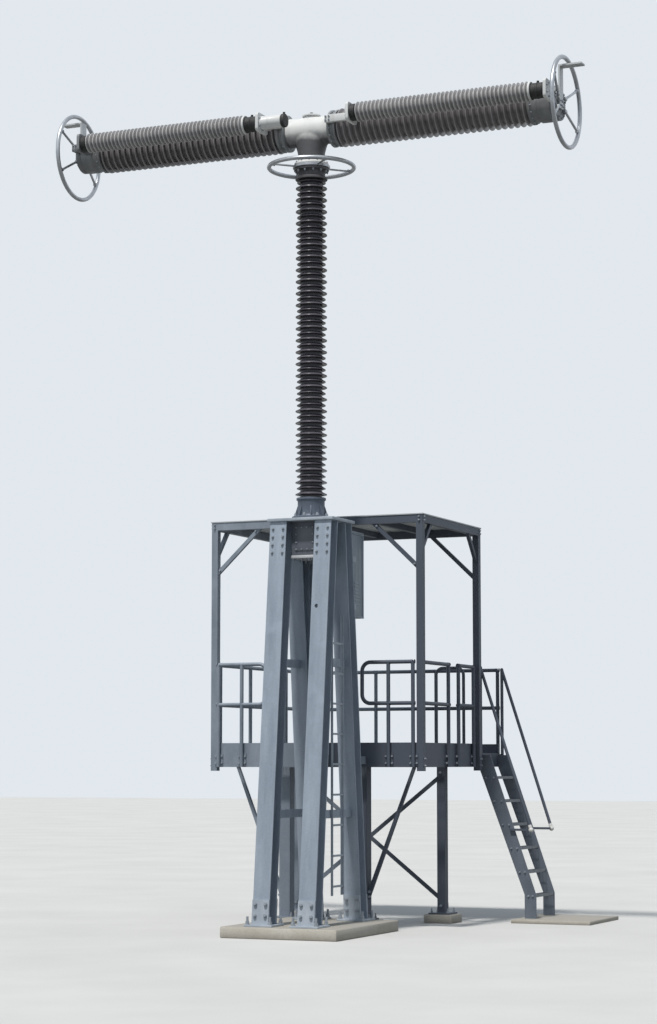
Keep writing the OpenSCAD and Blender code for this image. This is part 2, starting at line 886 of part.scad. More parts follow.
module rear_guardrail() {
    end = (deck_right - deck_left) / 2 - rail_clear;
    color("slategray")
        translate([deck_mid, deck_rear, 0]) rotate([0, 0, 180])
            rail_panel(-end, end, 0, 0, [-end, -end / 3, end / 3, end]);
}

module left_guardrail() {
    a0 = deck_front + canopy_post_w + 2 * rail_clear;
    a1 = canopy_rear - canopy_post_w - 2 * rail_clear;
    b0 = canopy_rear + 2 * rail_clear;
    b1 = deck_rear - rail_clear;
    color("slategray")
        translate([deck_left, 0, 0]) rotate([0, 0, -90]) {
            rail_panel(-b1, -b0, 0, 0, [-b1, -b0]);
            rail_panel(-a1, -a0, 0, 0, [-a1, -(a0 + a1) / 2, -a0]);
        }
}

module canopy_post(x, y) {
    span([x, y, deck_bottom - 40], [x + canopy_post_w, y + canopy_post_w, canopy_beam_z]);
}

module canopy_posts() {
    color("slategray")
        for (x = [canopy_x0, deck_right])
            for (y = [deck_front, canopy_rear - canopy_post_w])
                canopy_post(x, y);
}

// A knee brace in the XZ plane, from a post face at x = 0 to a beam at z = 0.
module knee(reach, drop, half) {
    outline_xz(-half, half, [[0, -drop], [0, -drop + brace_w], [reach - brace_w, 0], [reach, 0]]);
}

module canopy_braces() {
    half = canopy_post_w / 2;
    color("slategray") {
        for (y = [deck_front + half, canopy_rear - half]) {
            translate([deck_left, y, canopy_beam_z]) knee(knee_reach_x, knee_drop_x, 18);
            translate([deck_right, y, canopy_beam_z])
                mirror([1, 0, 0]) knee(knee_reach_x, knee_drop_x, 18);
        }
        for (x = [deck_left - half, deck_right + half]) {
            translate([x, deck_front + canopy_post_w, canopy_beam_z])
                rotate([0, 0, 90]) knee(knee_reach_y, knee_drop_y, 18);
            translate([x, canopy_rear - canopy_post_w, canopy_beam_z])
                rotate([0, 0, -90]) knee(knee_reach_y, knee_drop_y, 18);
        }
    }
}

module canopy_frame() {
    top = canopy_beam_z + canopy_beam_h;
    step = (canopy_x1 - canopy_x0) / 4;
    color("slategray") {
        difference() {
            span([canopy_x0, deck_front, canopy_beam_z], [canopy_x1, canopy_rear, top]);
            span([canopy_x0 + canopy_beam_w, deck_front + canopy_beam_w, canopy_beam_z - 1],
                 [canopy_x1 - canopy_beam_w, canopy_rear - canopy_beam_w, top + 1]);
        }
        for (i = [1 : 3])
            span([canopy_x0 + i * step - 25, deck_front + canopy_beam_w - 1, canopy_beam_z + 20],
                 [canopy_x0 + i * step + 25, canopy_rear - canopy_beam_w + 1, top]);
    }
}

module canopy_roof() {
    color("silver")
        span([canopy_x0 - canopy_over, deck_front - canopy_over, canopy_z - canopy_sheet_t],
             [canopy_x1 + canopy_over, canopy_rear + canopy_over, canopy_z]);
}

// A ladder side: a sloping flat with an upright foot and an upright head plate.
module stringer(y) {
    outline_xz(y, y + stringer_t,
               [[ladder_x1, ladder_pad_h], [ladder_x1 + stringer_w, ladder_pad_h],
                [ladder_x1 + stringer_w, ladder_knee_z],
                [deck_right + stringer_w, ladder_top], [deck_right, ladder_top],
                [deck_right, deck_bottom], [ladder_x1, ladder_knee_z]]);
}

module ladder_stringers() {
    color("lightsteelblue") {
        stringer(ladder_y0);
        stringer(ladder_y1 - stringer_t);
    }
}

// Treads at even rises from the slab to the deck.
module ladder_treads() {
    rise = (deck_z - ladder_pad_h) / (tread_count + 1);
    color("silver")
        for (i = [1 : tread_count]) {
            z = ladder_pad_h + i * rise;
            back = min(ladder_run, ladder_run * (deck_bottom - z) / (deck_bottom - ladder_knee_z));
            front = min(ladder_run, ladder_run * (ladder_top - z) / (ladder_top - ladder_knee_z));
            span([deck_right + max(0, back) + 16, ladder_y0 + stringer_t, z - tread_t],
                 [deck_right + front + stringer_w - 10, ladder_y1 - stringer_t, z]);
        }
}

// A handrail beside a ladder side; side is -1 in front of the ladder, 1 behind.
module handrail(face, side) {
    y = face + side * hand_off;
    drop = hand_z - hand_low;
    x_low = deck_right + hand_reach;
    lean = atan((x_low - hand_x) / drop);
    side_x = deck_right + stringer_w
             + ladder_run * (ladder_top - hand_low) / (ladder_top - ladder_knee_z);
    bar_z(deck_bottom + 20, hand_z, hand_x, y, hand_r);
    translate([hand_x, y, hand_z]) sphere(r = hand_r + 2);
    translate([hand_x, y, hand_z]) rotate([0, 180 - lean, 0])
        cylinder(h = drop / cos(lean), r = hand_r);
    translate([x_low, y, hand_low]) sphere(r = hand_r + 9);
    span([deck_right, y - 12, deck_bottom + 30], [hand_x, y + 12, deck_bottom + 80]);
    span([side_x - 50, min(face, y), hand_low - 12], [x_low, max(face, y), hand_low + 12]);
}

// A bent tube that stands on the deck beside the way in from the ladder.
module ladder_hoop() {
    y = ladder_y0 - hand_off;
    z = hand_z - hoop_bend;
    bar_z(deck_z, z, hoop_x0, y, hand_r);
    bar_z(deck_z, z, hoop_x1, y, hand_r);
    bar_x(hoop_x0 + hoop_bend, hoop_x1 - hoop_bend, y, hand_z, hand_r);
    translate([hoop_x0 + hoop_bend, y, z]) rotate([90, 270, 0])
        rotate_extrude(angle = 90) translate([hoop_bend, 0]) circle(r = hand_r);
    translate([hoop_x1 - hoop_bend, y, z]) rotate([90, 0, 0])
        rotate_extrude(angle = 90) translate([hoop_bend, 0]) circle(r = hand_r);
}

module ladder_handrails() {
    color("slategray") {
        handrail(ladder_y0, -1);
        handrail(ladder_y1, 1);
        ladder_hoop();
    }
}

foundation_plinth();
platform_footings();
column_base_plates();
front_left_column();
front_right_column();
rear_left_column();
rear_right_column();
column_ties();
support_top_plate();
gear_housing();
linkage_cover();
cabinet_rails();
drive_cabinet();
cabinet_door();
cable_ladder();
lower_flange();
support_insulator();
upper_flange();
post_ring();
head_casting();
left_interrupter();
right_interrupter();
left_end_fitting();
right_end_fitting();
left_capacitor();
right_capacitor();
capacitor_brackets();
line_terminals();
end_rings();
platform_legs();
platform_braces();
deck_frame();
deck_grating();
toe_boards();
front_guardrails();
right_guardrail();
rear_guardrail();
left_guardrail();
canopy_posts();
canopy_braces();
canopy_frame();
canopy_roof();
ladder_stringers();
ladder_treads();
ladder_handrails();
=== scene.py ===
import math

import bmesh
import bpy
from mathutils import Matrix, Vector


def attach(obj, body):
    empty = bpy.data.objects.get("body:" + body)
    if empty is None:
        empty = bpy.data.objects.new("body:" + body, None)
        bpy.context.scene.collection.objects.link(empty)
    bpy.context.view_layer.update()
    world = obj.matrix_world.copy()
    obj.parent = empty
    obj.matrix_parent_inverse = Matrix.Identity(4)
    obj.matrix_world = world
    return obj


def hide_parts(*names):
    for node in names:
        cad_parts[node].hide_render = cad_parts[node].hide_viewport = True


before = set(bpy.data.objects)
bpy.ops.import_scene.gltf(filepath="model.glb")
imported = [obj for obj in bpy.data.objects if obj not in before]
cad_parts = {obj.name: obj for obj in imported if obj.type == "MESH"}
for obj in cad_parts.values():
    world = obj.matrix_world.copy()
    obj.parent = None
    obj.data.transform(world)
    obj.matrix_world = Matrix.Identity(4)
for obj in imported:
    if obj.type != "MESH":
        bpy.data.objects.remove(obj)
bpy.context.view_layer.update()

# --- Plinth, footings and ladder slab ----------------------------------------
# Cast concrete with trowelled, chamfered top edges. The columns stand on the plinth, the
# platform legs on four small footings, and the ladder on a thin slab of its own.
PLINTH = ((-0.62, -0.795, 0.0), (0.62, 0.795, 0.11))
FOOTING_PLACES = ((0.15, 1.0), (-0.722, 1.0), (0.56, 2.2), (-1.132, 2.2))
FOOTING_HALF, FOOTING_TOP = 0.16, 0.09
LADDER_SLAB = ((1.264, 2.37, 0.0), (2.144, 3.4, 0.04))


def wire(source, target):
    """Joins two sockets of one node tree."""
    source.id_data.links.new(source, target)


def add_node(tree, kind, feeds, **settings):
    """A node with its inputs wired to other sockets or set to values. Gives its outputs."""
    node = tree.nodes.new(kind)
    for name, setting in settings.items():
        setattr(node, name, setting)
    for name, value in feeds.items():
        if isinstance(value, bpy.types.NodeSocket):
            wire(value, node.inputs[name])
        else:
            node.inputs[name].default_value = value
    return node.outputs


def start_finish(name, metallic=0.0):
    """A new material, with its shader and the piece's own coordinates."""
    made = bpy.data.materials.new(name)
    made.use_nodes = True
    shader = made.node_tree.nodes["Principled BSDF"]
    shader.inputs["Metallic"].default_value = metallic
    return made, shader, add_node(made.node_tree, "ShaderNodeTexCoord", {})["Object"]


def clouds(place, scale, detail=5.0, rough=0.55):
    """Soft uneven patches, 0 to 1."""
    return add_node(place.id_data, "ShaderNodeTexNoise", {
        "Vector": place, "Scale": scale, "Detail": detail, "Roughness": rough})["Fac"]


def grains(place, scale, output="Distance"):
    """Separate grains: the distance to the nearest, or a tone for each."""
    return add_node(place.id_data, "ShaderNodeTexVoronoi",
                    {"Vector": place, "Scale": scale})[output]


def between(value, low, high, at_low=0.0, at_high=1.0):
    """A value spread from low and high to two new ends, and held there."""
    return add_node(value.id_data, "ShaderNodeMapRange", {
        "Value": value, "From Min": low, "From Max": high,
        "To Min": at_low, "To Max": at_high})["Result"]


def combined(one, other, kind="ADD"):
    """Two values added, or worked out in the other way named."""
    return add_node(one.id_data, "ShaderNodeMath", {0: one, 1: other}, operation=kind)["Value"]


def product(one, other):
    """Two values multiplied."""
    return combined(one, other, "MULTIPLY")


def tones(factor, one, other):
    """One colour turning into another as the factor goes from 0 to 1."""
    ends = [end + (1.0,) if isinstance(end, tuple) else end for end in (one, other)]
    return add_node(factor.id_data, "ShaderNodeMix",
                    {"Factor": factor, 6: ends[0], 7: ends[1]}, data_type="RGBA")[2]


def height_in(place, axis="Z"):
    """Height above the ground, or the place along another axis."""
    return add_node(place.id_data, "ShaderNodeSeparateXYZ", {"Vector": place})[axis]


def upward(place):
    """How far a face looks up, from -1 to 1."""
    return height_in(place.node.outputs["Normal"])


def coat(shader, tone, rough, height=None, depth=0.0, strength=0.6):
    """Gives a shader its colour, its roughness, and small relief of a depth in metres."""
    wire(tone, shader.inputs["Base Color"])
    wire(rough, shader.inputs["Roughness"])
    if height is not None:
        bump = add_node(height.id_data, "ShaderNodeBump",
                        {"Height": height, "Distance": depth, "Strength": strength})
        wire(bump["Normal"], shader.inputs["Normal"])


def add_block(shape, low, high, edge=0.003, rounds=2):
    """A box between two corners with its edges eased."""
    size = Vector(high) - Vector(low)
    middle = (Vector(high) + Vector(low)) / 2
    made = bmesh.ops.create_cube(
        shape, size=1.0, matrix=Matrix.Translation(middle) @ Matrix.Diagonal((*size, 1.0)))
    edges = list({e for v in made["verts"] for e in v.link_edges})
    bmesh.ops.bevel(shape, geom=edges, offset=edge, segments=rounds, affect="EDGES",
                    profile=0.5)


def mesh_of(name, shape):
    """A shape as a bare mesh, its faces turned out."""
    bmesh.ops.recalc_face_normals(shape, faces=shape.faces)
    mesh = bpy.data.meshes.new(name)
    shape.to_mesh(mesh)
    shape.free()
    return mesh


def soften(mesh, angle=35.0):
    """Makes faces smooth, but not over edges that turn by more than an angle in degrees."""
    mesh.shade_smooth()
    mesh.set_sharp_from_angle(angle=math.radians(angle))


def in_scene(name, data):
    """An object of that name, in the scene."""
    made = bpy.data.objects.new(name, data)
    bpy.context.scene.collection.objects.link(made)
    return made


def finished(name, shape, finish, smooth=35.0):
    """The object made of a shape, its faces out and its soft edges smooth."""
    mesh = mesh_of(name, shape)
    soften(mesh, smooth)
    mesh.materials.append(finish)
    return in_scene(name, mesh)


concrete, shader, place = start_finish("cast_concrete")
patches = clouds(place, 2.4, 7.0)
sand = clouds(place, 90.0, 3.0)
pores = between(grains(place, 60.0), 0.06, 0.2)
splash = product(between(height_in(place), 0.0, 0.07, 0.55, 0.0), clouds(place, 14.0))
tone = tones(between(patches, 0.3, 0.7), (0.50, 0.465, 0.405), (0.62, 0.59, 0.53))
tone = tones(between(sand, 0.45, 0.75, 0.0, 0.5), tone, (0.38, 0.36, 0.32))
tone = tones(between(pores, 0.0, 1.0, 0.45, 0.0), tone, (0.24, 0.22, 0.20))
tone = tones(splash, tone, (0.27, 0.24, 0.20))
# Faces that look up are made darker, in patches.
darker_tops = product(between(upward(place), 0.6, 0.95), between(patches, 0.2, 0.8, 0.45, 0.8))
tone = tones(darker_tops, tone, (0.27, 0.26, 0.235))
coat(shader, tone, between(sand, 0.3, 0.7, 0.78, 0.95), combined(pores, sand), 0.002)

shape = bmesh.new()
add_block(shape, *PLINTH, edge=0.014)
plinth = finished("concrete_plinth", shape, concrete)
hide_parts("foundation_plinth")

shape = bmesh.new()
for x, y in FOOTING_PLACES:
    add_block(shape, (x - FOOTING_HALF, y - FOOTING_HALF, 0.0),
              (x + FOOTING_HALF, y + FOOTING_HALF, FOOTING_TOP), edge=0.012)
add_block(shape, *LADDER_SLAB, edge=0.008)
footings = finished("concrete_footings", shape, concrete)
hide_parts("platform_footings")

for piece in (plinth, footings):
    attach(piece, "root")

# --- Columns and base plates -------------------------------------------------
# Four rolled wide-flange columns that lean in towards the pole, galvanised. Each stands
# between two cleats on a welded base plate, and the plates are bolted down to the plinth.
COLUMN_X = 0.244
COLUMN_FOOT, COLUMN_TOP = 0.13, 4.104
COLUMN_FOOT_Y, COLUMN_TOP_Y = 0.575, 0.175
FLANGE_HALF, COLUMN_HALF = 0.09, 0.085
FLANGE_T, WEB_HALF, ROOT = 0.014, 0.005, 0.015
CLEAT_T, CLEAT_H = 0.014, 0.24
BASE_HALF, BASE_T = 0.15, 0.02
HOLE_IN, HOLE_Z, HOLE_R = 0.033, 3.24, 0.020


def dress(node, finish):
    """Gives a piece that keeps its CAD shape its finish."""
    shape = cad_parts[node]
    if not shape.material_slots:
        shape.data.materials.append(finish)
    for held in shape.material_slots:
        held.material = finish


def stretched(place, scale, shift=(0, 0, 0)):
    """Coordinates closed up or drawn out along each axis, after a shift."""
    return add_node(place.id_data, "ShaderNodeMapping", {
        "Vector": place, "Location": [s * f for s, f in zip(scale, shift)],
        "Scale": scale})["Vector"]


def shaded(colour, share):
    """A colour made darker or lighter, by a share of itself."""
    return tuple(c * share for c in colour)


def zinc(name, pale, dull, metallic, streak, painted_shade=None):
    """Hot-dip galvanising: spangle, running streaks, pale bloom, and painted shade towards +X if
    given.
    """
    made, shader, place = start_finish(name, metallic)
    spangle = grains(place, 95.0, "Color")
    runs = clouds(stretched(place, streak), 1.0, 6.0, 0.62)
    bloom = between(clouds(place, 3.1, 4.0), 0.56, 0.74)
    tone = tones(between(runs, 0.32, 0.68), dull, pale)
    tone = tones(between(spangle, 0.0, 1.0, 0.0, 0.22), tone, shaded(dull, 0.7))
    tone = tones(between(bloom, 0.0, 1.0, 0.0, 0.4), tone, shaded(pale, 1.12))
    # Painted shade: a darker tone spreads over the +X side with a ragged edge, for shade that falls
    # there.
    if painted_shade:
        shade_edge = combined(height_in(place, "X"), product(runs, 0.5))
        tone = tones(between(shade_edge, -0.70, 0.15, 0.0, 0.92), tone, painted_shade)
    coat(shader, tone, between(combined(spangle, runs), 0.3, 1.6, 0.46, 0.64),
         combined(clouds(place, 160.0, 2.0), spangle), 0.0006, 0.35)
    return made


def axis_y(z):
    """Distance of a column's axis from the pole's at a height."""
    rise = (z - COLUMN_FOOT) / (COLUMN_TOP - COLUMN_FOOT)
    return COLUMN_FOOT_Y + (COLUMN_TOP_Y - COLUMN_FOOT_Y) * rise


def join_loops(shape, one, other):
    """A band of faces between two closed loops with as many corners."""
    for i in range(len(one)):
        j = (i + 1) % len(one)
        shape.faces.new((one[i], one[j], other[j], other[i]))


def add_prism(shape, one, other):
    """A solid between two outlines with as many corners."""
    ends = [[shape.verts.new(corner) for corner in outline] for outline in (one, other)]
    join_loops(shape, *ends)
    shape.faces.new(ends[1])
    shape.faces.new(ends[0][::-1])


def add_leaning(shape, outline, x, side, low, high):
    """An outline drawn up along a column from one height to another."""
    add_prism(shape, *([(x + u, side * (axis_y(z) + v), z) for u, v in outline]
                       for z in (low, high)))


def carried_out(piece):
    """A piece's mesh with its modifiers carried out. The modifiers are then taken off."""
    graph = bpy.context.evaluated_depsgraph_get()
    mesh = bpy.data.meshes.new_from_object(piece.evaluated_get(graph), depsgraph=graph)
    piece.modifiers.clear()
    return mesh


def drill_flange(column, x, side, z):
    """Drills a round hole through a column's outer flange."""
    shape = bmesh.new()
    outer = Vector((x, side * (axis_y(z) + COLUMN_HALF - FLANGE_T / 2), z))
    bmesh.ops.create_cone(shape, cap_ends=True, segments=32, radius1=HOLE_R, radius2=HOLE_R,
                          depth=FLANGE_T + 0.02,
                          matrix=Matrix.Translation(outer) @ Matrix.Rotation(math.pi / 2, 4, "X"))
    drill = finished("drill", shape, column_zinc)
    cut = column.modifiers.new("hole", "BOOLEAN")
    cut.object, cut.operation, cut.solver = drill, "DIFFERENCE", "EXACT"
    column.data = carried_out(column)
    soften(column.data)
    bpy.data.objects.remove(drill)


inner = COLUMN_HALF - FLANGE_T
corner = [(FLANGE_HALF - 0.002, COLUMN_HALF), (FLANGE_HALF, COLUMN_HALF - 0.002),
          (FLANGE_HALF, inner + 0.002), (FLANGE_HALF - 0.002, inner)]
corner += [(WEB_HALF + ROOT - ROOT * math.sin(math.radians(a)),
            inner - ROOT + ROOT * math.cos(math.radians(a))) for a in range(0, 91, 18)]
rolled = (corner + [(u, -v) for u, v in corner[::-1]] + [(-u, -v) for u, v in corner]
          + [(-u, v) for u, v in corner[::-1]])

column_zinc = zinc("column_zinc", (0.40, 0.465, 0.545), (0.265, 0.315, 0.385), 0.25,
                   (7.0, 7.0, 0.8))
for name, x, side in (("front_left_column", -COLUMN_X, -1), ("front_right_column", COLUMN_X, -1),
                      ("rear_left_column", -COLUMN_X, 1), ("rear_right_column", COLUMN_X, 1)):
    shape = bmesh.new()
    add_leaning(shape, rolled, x, side, COLUMN_FOOT, COLUMN_TOP)
    column = finished(name + "_rolled", shape, column_zinc)
    if name == "front_right_column":
        drill_flange(column, x - HOLE_IN, side, HOLE_Z)
    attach(column, "root")
    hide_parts(name)

plate_zinc = zinc("plate_zinc", (0.50, 0.55, 0.61), (0.35, 0.40, 0.46), 0.25, (5.0, 5.0, 3.0))
shape = bmesh.new()
for x in (-COLUMN_X, COLUMN_X):
    for side in (-1, 1):
        y = side * COLUMN_FOOT_Y
        add_block(shape, (x - BASE_HALF, y - BASE_HALF, COLUMN_FOOT - BASE_T),
                  (x + BASE_HALF, y + BASE_HALF, COLUMN_FOOT), edge=0.0025)
        for near in (COLUMN_HALF, -COLUMN_HALF - CLEAT_T):
            cleat = [(FLANGE_HALF, near), (FLANGE_HALF, near + CLEAT_T),
                     (-FLANGE_HALF, near + CLEAT_T), (-FLANGE_HALF, near)]
            add_leaning(shape, cleat, x, side, COLUMN_FOOT - 0.002, COLUMN_FOOT + CLEAT_H)
            bead = near + CLEAT_T if near > 0 else near
            out = 0.010 if near > 0 else -0.010
            weld = [(FLANGE_HALF, bead - out / 2), (FLANGE_HALF, bead + out),
                    (-FLANGE_HALF, bead + out), (-FLANGE_HALF, bead - out / 2)]
            add_leaning(shape, weld, x, side, COLUMN_FOOT - 0.001, COLUMN_FOOT + 0.009)
bases = finished("base_plates_and_cleats", shape, plate_zinc)
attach(bases, "root")
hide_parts("column_base_plates")

# --- Bolts of the stand ------------------------------------------------------
# Zinc-plated hexagon bolts with washers and the end of the thread showing: anchor bolts
# in the base plates, bolts through the cleats, and two rows at the head of each flange.


def by_nodes(name, carrier, tree, sizes, smooth=35.0):
    """Runs a node tree on a carrier mesh and keeps the result as a plain mesh."""
    piece = in_scene(name, carrier)
    step = piece.modifiers.new("made", "NODES")
    step.node_group = tree
    for item in tree.interface.items_tree:
        if item.in_out == "INPUT" and item.name in sizes:
            step[item.identifier] = sizes[item.name]
    mesh = piece.data = carried_out(piece)
    finish = next(held for held in mesh.materials if held)
    mesh.materials.clear()
    mesh.materials.append(finish)
    mesh.polygons.foreach_set("material_index", [0] * len(mesh.polygons))
    soften(mesh, smooth)
    return piece


def start_tree(name, inputs):
    """A node tree with its inputs named in order, and one output. Gives it and the inputs."""
    tree = bpy.data.node_groups.new(name, "GeometryNodeTree")
    for label, kind in inputs.items():
        tree.interface.new_socket(label, in_out="INPUT", socket_type="NodeSocket" + kind)
    tree.interface.new_socket("Made", in_out="OUTPUT", socket_type="NodeSocketGeometry")
    return tree, add_node(tree, "NodeGroupInput", {})


def end_tree(tree, finish, points, one, **more):
    """Sets copies of one thing on points, makes them real, coats them and gives them out."""
    copies = add_node(tree, "GeometryNodeInstanceOnPoints",
                      {"Points": points, "Instance": one, **more})["Instances"]
    real = add_node(tree, "GeometryNodeRealizeInstances", {"Geometry": copies})["Geometry"]
    coated = add_node(tree, "GeometryNodeSetMaterial", {"Geometry": real, "Material": finish})
    wire(coated["Geometry"], tree.nodes.new("NodeGroupOutput").inputs["Made"])
    return tree


def bolt_tree(finish):
    """Puts a washer, a hexagon head and a thread end on every point, facing its own way."""
    tree, given = start_tree("hexagon_bolts", {
        "Places": "Geometry", "Across flats": "Float", "Head height": "Float",
        "Washer thickness": "Float", "Thread end": "Float"})
    gathered = tree.nodes.new("GeometryNodeJoinGeometry")

    def disc(sides, radius, depth, foot=None):
        """A disc that stands on a height, or on the ground."""
        round_one = add_node(tree, "GeometryNodeMeshCylinder",
                             {"Vertices": sides, "Radius": radius, "Depth": depth})["Mesh"]
        middle = product(depth, 0.5)
        lift = add_node(tree, "ShaderNodeCombineXYZ",
                        {"Z": combined(foot, middle) if foot else middle})["Vector"]
        moved = add_node(tree, "GeometryNodeTransform",
                         {"Geometry": round_one, "Translation": lift})
        wire(moved["Geometry"], gathered.inputs["Geometry"])

    across, washer, head = (given[size] for size in (
        "Across flats", "Washer thickness", "Head height"))
    disc(16, product(across, 0.62), washer)
    disc(6, product(across, 0.577), head, washer)
    disc(10, product(across, 0.33), combined(combined(washer, head), given["Thread end"]))
    way = add_node(tree, "GeometryNodeInputNamedAttribute", {"Name": "facing"},
                   data_type="FLOAT_VECTOR")["Attribute"]
    turn = add_node(tree, "FunctionNodeAlignRotationToVector", {"Vector": way}, axis="Z")
    return end_tree(tree, finish, given["Places"], gathered.outputs["Geometry"],
                    Rotation=turn["Rotation"])


def bolts(name, places, across, head=None, thread=0.006):
    """A group of like bolts: each place is a point and the way its head faces."""
    carrier = bpy.data.meshes.new(name + "_places")
    carrier.from_pydata([p for p, _ in places], [], [])
    facing = carrier.attributes.new("facing", "FLOAT_VECTOR", "POINT")
    facing.data.foreach_set("vector", [c for _, f in places for c in f])
    piece = by_nodes(name, carrier, hexagon_bolts, {
        "Across flats": across, "Head height": head or across * 0.62,
        "Washer thickness": across * 0.12, "Thread end": thread})
    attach(piece, "root")


bolt_zinc = zinc("bolt_zinc", (0.42, 0.46, 0.51), (0.28, 0.31, 0.35), 0.4, (20.0, 20.0, 20.0))
hexagon_bolts = bolt_tree(bolt_zinc)

ANCHOR_OUT, FLANGE_BOLT_OUT, LEAN = 0.122, 0.055, 0.1
CLEAT_BOLT_Z, HEAD_BOLT_Z = (0.215, 0.325), (3.79, 3.87, 3.95, 4.03)
anchors, cleat_bolts, head_bolts = [], [], []
for x in (-COLUMN_X, COLUMN_X):
    for side in (-1, 1):
        anchors += [((x + u, side * COLUMN_FOOT_Y + v, COLUMN_FOOT), (0, 0, 1))
                    for u in (-ANCHOR_OUT, ANCHOR_OUT) for v in (-ANCHOR_OUT, ANCHOR_OUT)]
        for u in (-FLANGE_BOLT_OUT, FLANGE_BOLT_OUT):
            cleat_bolts += [((x + u, side * (axis_y(z) + face * (COLUMN_HALF + CLEAT_T)), z),
                             (0, face * side, face * LEAN))
                            for z in CLEAT_BOLT_Z for face in (1, -1)]
            head_bolts += [((x + u, side * (axis_y(z) + COLUMN_HALF), z), (0, side, LEAN))
                           for z in HEAD_BOLT_Z]
bolts("anchor_nuts", anchors, 0.036, 0.029, 0.045)
bolts("cleat_bolts", cleat_bolts, 0.030)
bolts("column_head_bolts", head_bolts, 0.023)

# --- Ties, top plate and cable ladder ----------------------------------------
# Flat ties hold the columns apart and the deck to the rear pair, and a thick plate caps
# all four. A cable ladder of two angles and flat rungs climbs one side. All galvanised.
TOP_PLATE = ((-0.358, -0.284, 4.104), (0.358, 0.284, 4.134))
CABLE_X, CABLE_W = 0.274, 0.026
CABLE_Y, CABLE_SIDE = 0.136, 0.030
CABLE_LOW, CABLE_HIGH = 0.39, 3.17
RUNG_LOW, RUNG_PITCH, RUNG_COUNT = 0.47, 0.30, 9
RUNG_H, RUNG_LEN = 0.020, 0.216

dress("column_ties", column_zinc)

shape = bmesh.new()
add_block(shape, *TOP_PLATE)
top_plate = finished("top_plate", shape, plate_zinc)
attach(top_plate, "root")
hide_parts("support_top_plate")


def row_tree(name, finish):
    """Sets copies of the carrier mesh in a row and joins them."""
    tree, given = start_tree(name, {"One": "Geometry", "Count": "Int", "Pitch": "Vector"})
    line = add_node(tree, "GeometryNodeMeshLine",
                    {"Count": given["Count"], "Offset": given["Pitch"]})["Mesh"]
    return end_tree(tree, finish, line, given["One"])


def joined(name, *parts):
    """Several pieces made into one, under a new name."""
    shape = bmesh.new()
    for part in parts:
        shape.from_mesh(part.data)
    piece = finished(name, shape, parts[0].data.materials[0])
    for part in parts:
        bpy.data.objects.remove(part)
    return piece


shape = bmesh.new()
for low_y in (-CABLE_Y, CABLE_Y - CABLE_SIDE):
    outer = low_y if low_y < 0 else low_y + CABLE_SIDE - 0.005
    add_block(shape, (CABLE_X, outer, CABLE_LOW), (CABLE_X + CABLE_W, outer + 0.005, CABLE_HIGH),
              edge=0.001, rounds=1)
    add_block(shape, (CABLE_X, low_y, CABLE_LOW), (CABLE_X + 0.005, low_y + CABLE_SIDE, CABLE_HIGH),
              edge=0.001, rounds=1)
sides = finished("cable_ladder_sides", shape, plate_zinc)
shape = bmesh.new()
add_block(shape, (CABLE_X + 0.005, -RUNG_LEN / 2 - 0.024, RUNG_LOW),
          (CABLE_X + 0.021, RUNG_LEN / 2 + 0.024, RUNG_LOW + RUNG_H), edge=0.001, rounds=1)
rungs = by_nodes("cable_ladder_rungs", mesh_of("rung", shape), row_tree("rungs", plate_zinc),
                 {"Count": RUNG_COUNT, "Pitch": (0.0, 0.0, RUNG_PITCH)})
cable_ladder = joined("cable_ladder_angles_and_rungs", sides, rungs)
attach(cable_ladder, "root")
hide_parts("cable_ladder")

# --- Gear housing and linkage cover ------------------------------------------
# A welded and painted steel housing hangs under the top plate on a thick bright flange,
# with a bolted cover in front. A folded cover takes the drive rod across to the cabinet.
GEAR_X, GEAR_Y, GEAR_LOW, GEAR_TOP = 0.148, 0.158, 3.766, 4.104
GEAR_FLANGE = ((-0.150, -0.166, 3.736), (0.150, 0.166, 3.766))
COVER_FRONT, COVER_HALF, COVER_LOW, COVER_TOP = -0.165, 0.105, 3.81, 4.06
LINKAGE = ((-0.096, 0.150, 3.848), (0.096, 0.392, 4.030))


def paint(name, colour, grime, rough=0.42):
    """Sprayed paint: orange peel, a little fading, and grime run down from above."""
    made, shader, place = start_finish(name)
    runs = clouds(stretched(place, (16.0, 16.0, 1.3)), 1.0, 5.0, 0.6)
    faded = tuple(min(1.0, c * 1.16 + 0.01) for c in colour)
    tone = tones(between(clouds(place, 2.6, 3.0), 0.3, 0.7), colour, faded)
    tone = tones(between(runs, 0.52, 0.76, 0.0, 0.55), tone, grime)
    coat(shader, tone, between(runs, 0.3, 0.7, rough - 0.08, rough + 0.14),
         clouds(place, 420.0, 2.0), 0.0003, 0.4)
    return made


grey_paint = paint("grey_paint", (0.235, 0.28, 0.335), (0.12, 0.135, 0.15))
# Painted shade: the housing's paint is a darker copy of the grey, for shade under the top plate and
# between the columns.
shaded_grey_paint = paint("housing_paint", (0.125, 0.14, 0.17), (0.07, 0.075, 0.085))
shape = bmesh.new()
add_block(shape, (-GEAR_X, -GEAR_Y, GEAR_LOW), (GEAR_X, GEAR_Y, GEAR_TOP), edge=0.008, rounds=3)
add_block(shape, (-COVER_HALF, COVER_FRONT, COVER_LOW), (COVER_HALF, -GEAR_Y + 0.004, COVER_TOP))
housing = finished("gear_housing_shell", shape, shaded_grey_paint)
shape = bmesh.new()
add_block(shape, *GEAR_FLANGE)
flange = finished("gear_housing_flange", shape, zinc(
    "bright_zinc", (0.66, 0.68, 0.70), (0.52, 0.55, 0.58), 0.2, (8.0, 8.0, 8.0)))
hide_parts("gear_housing")
cover_bolts = [((x, COVER_FRONT, z), (0, -1, 0))
               for x in (-0.09, 0.09) for z in (3.826, 3.895, 3.975, 4.044)]
cover_bolts += [((x, COVER_FRONT, z), (0, -1, 0)) for x in (-0.03, 0.03) for z in (3.826, 4.044)]
bolts("gear_cover_bolts", cover_bolts, 0.013, thread=0.001)
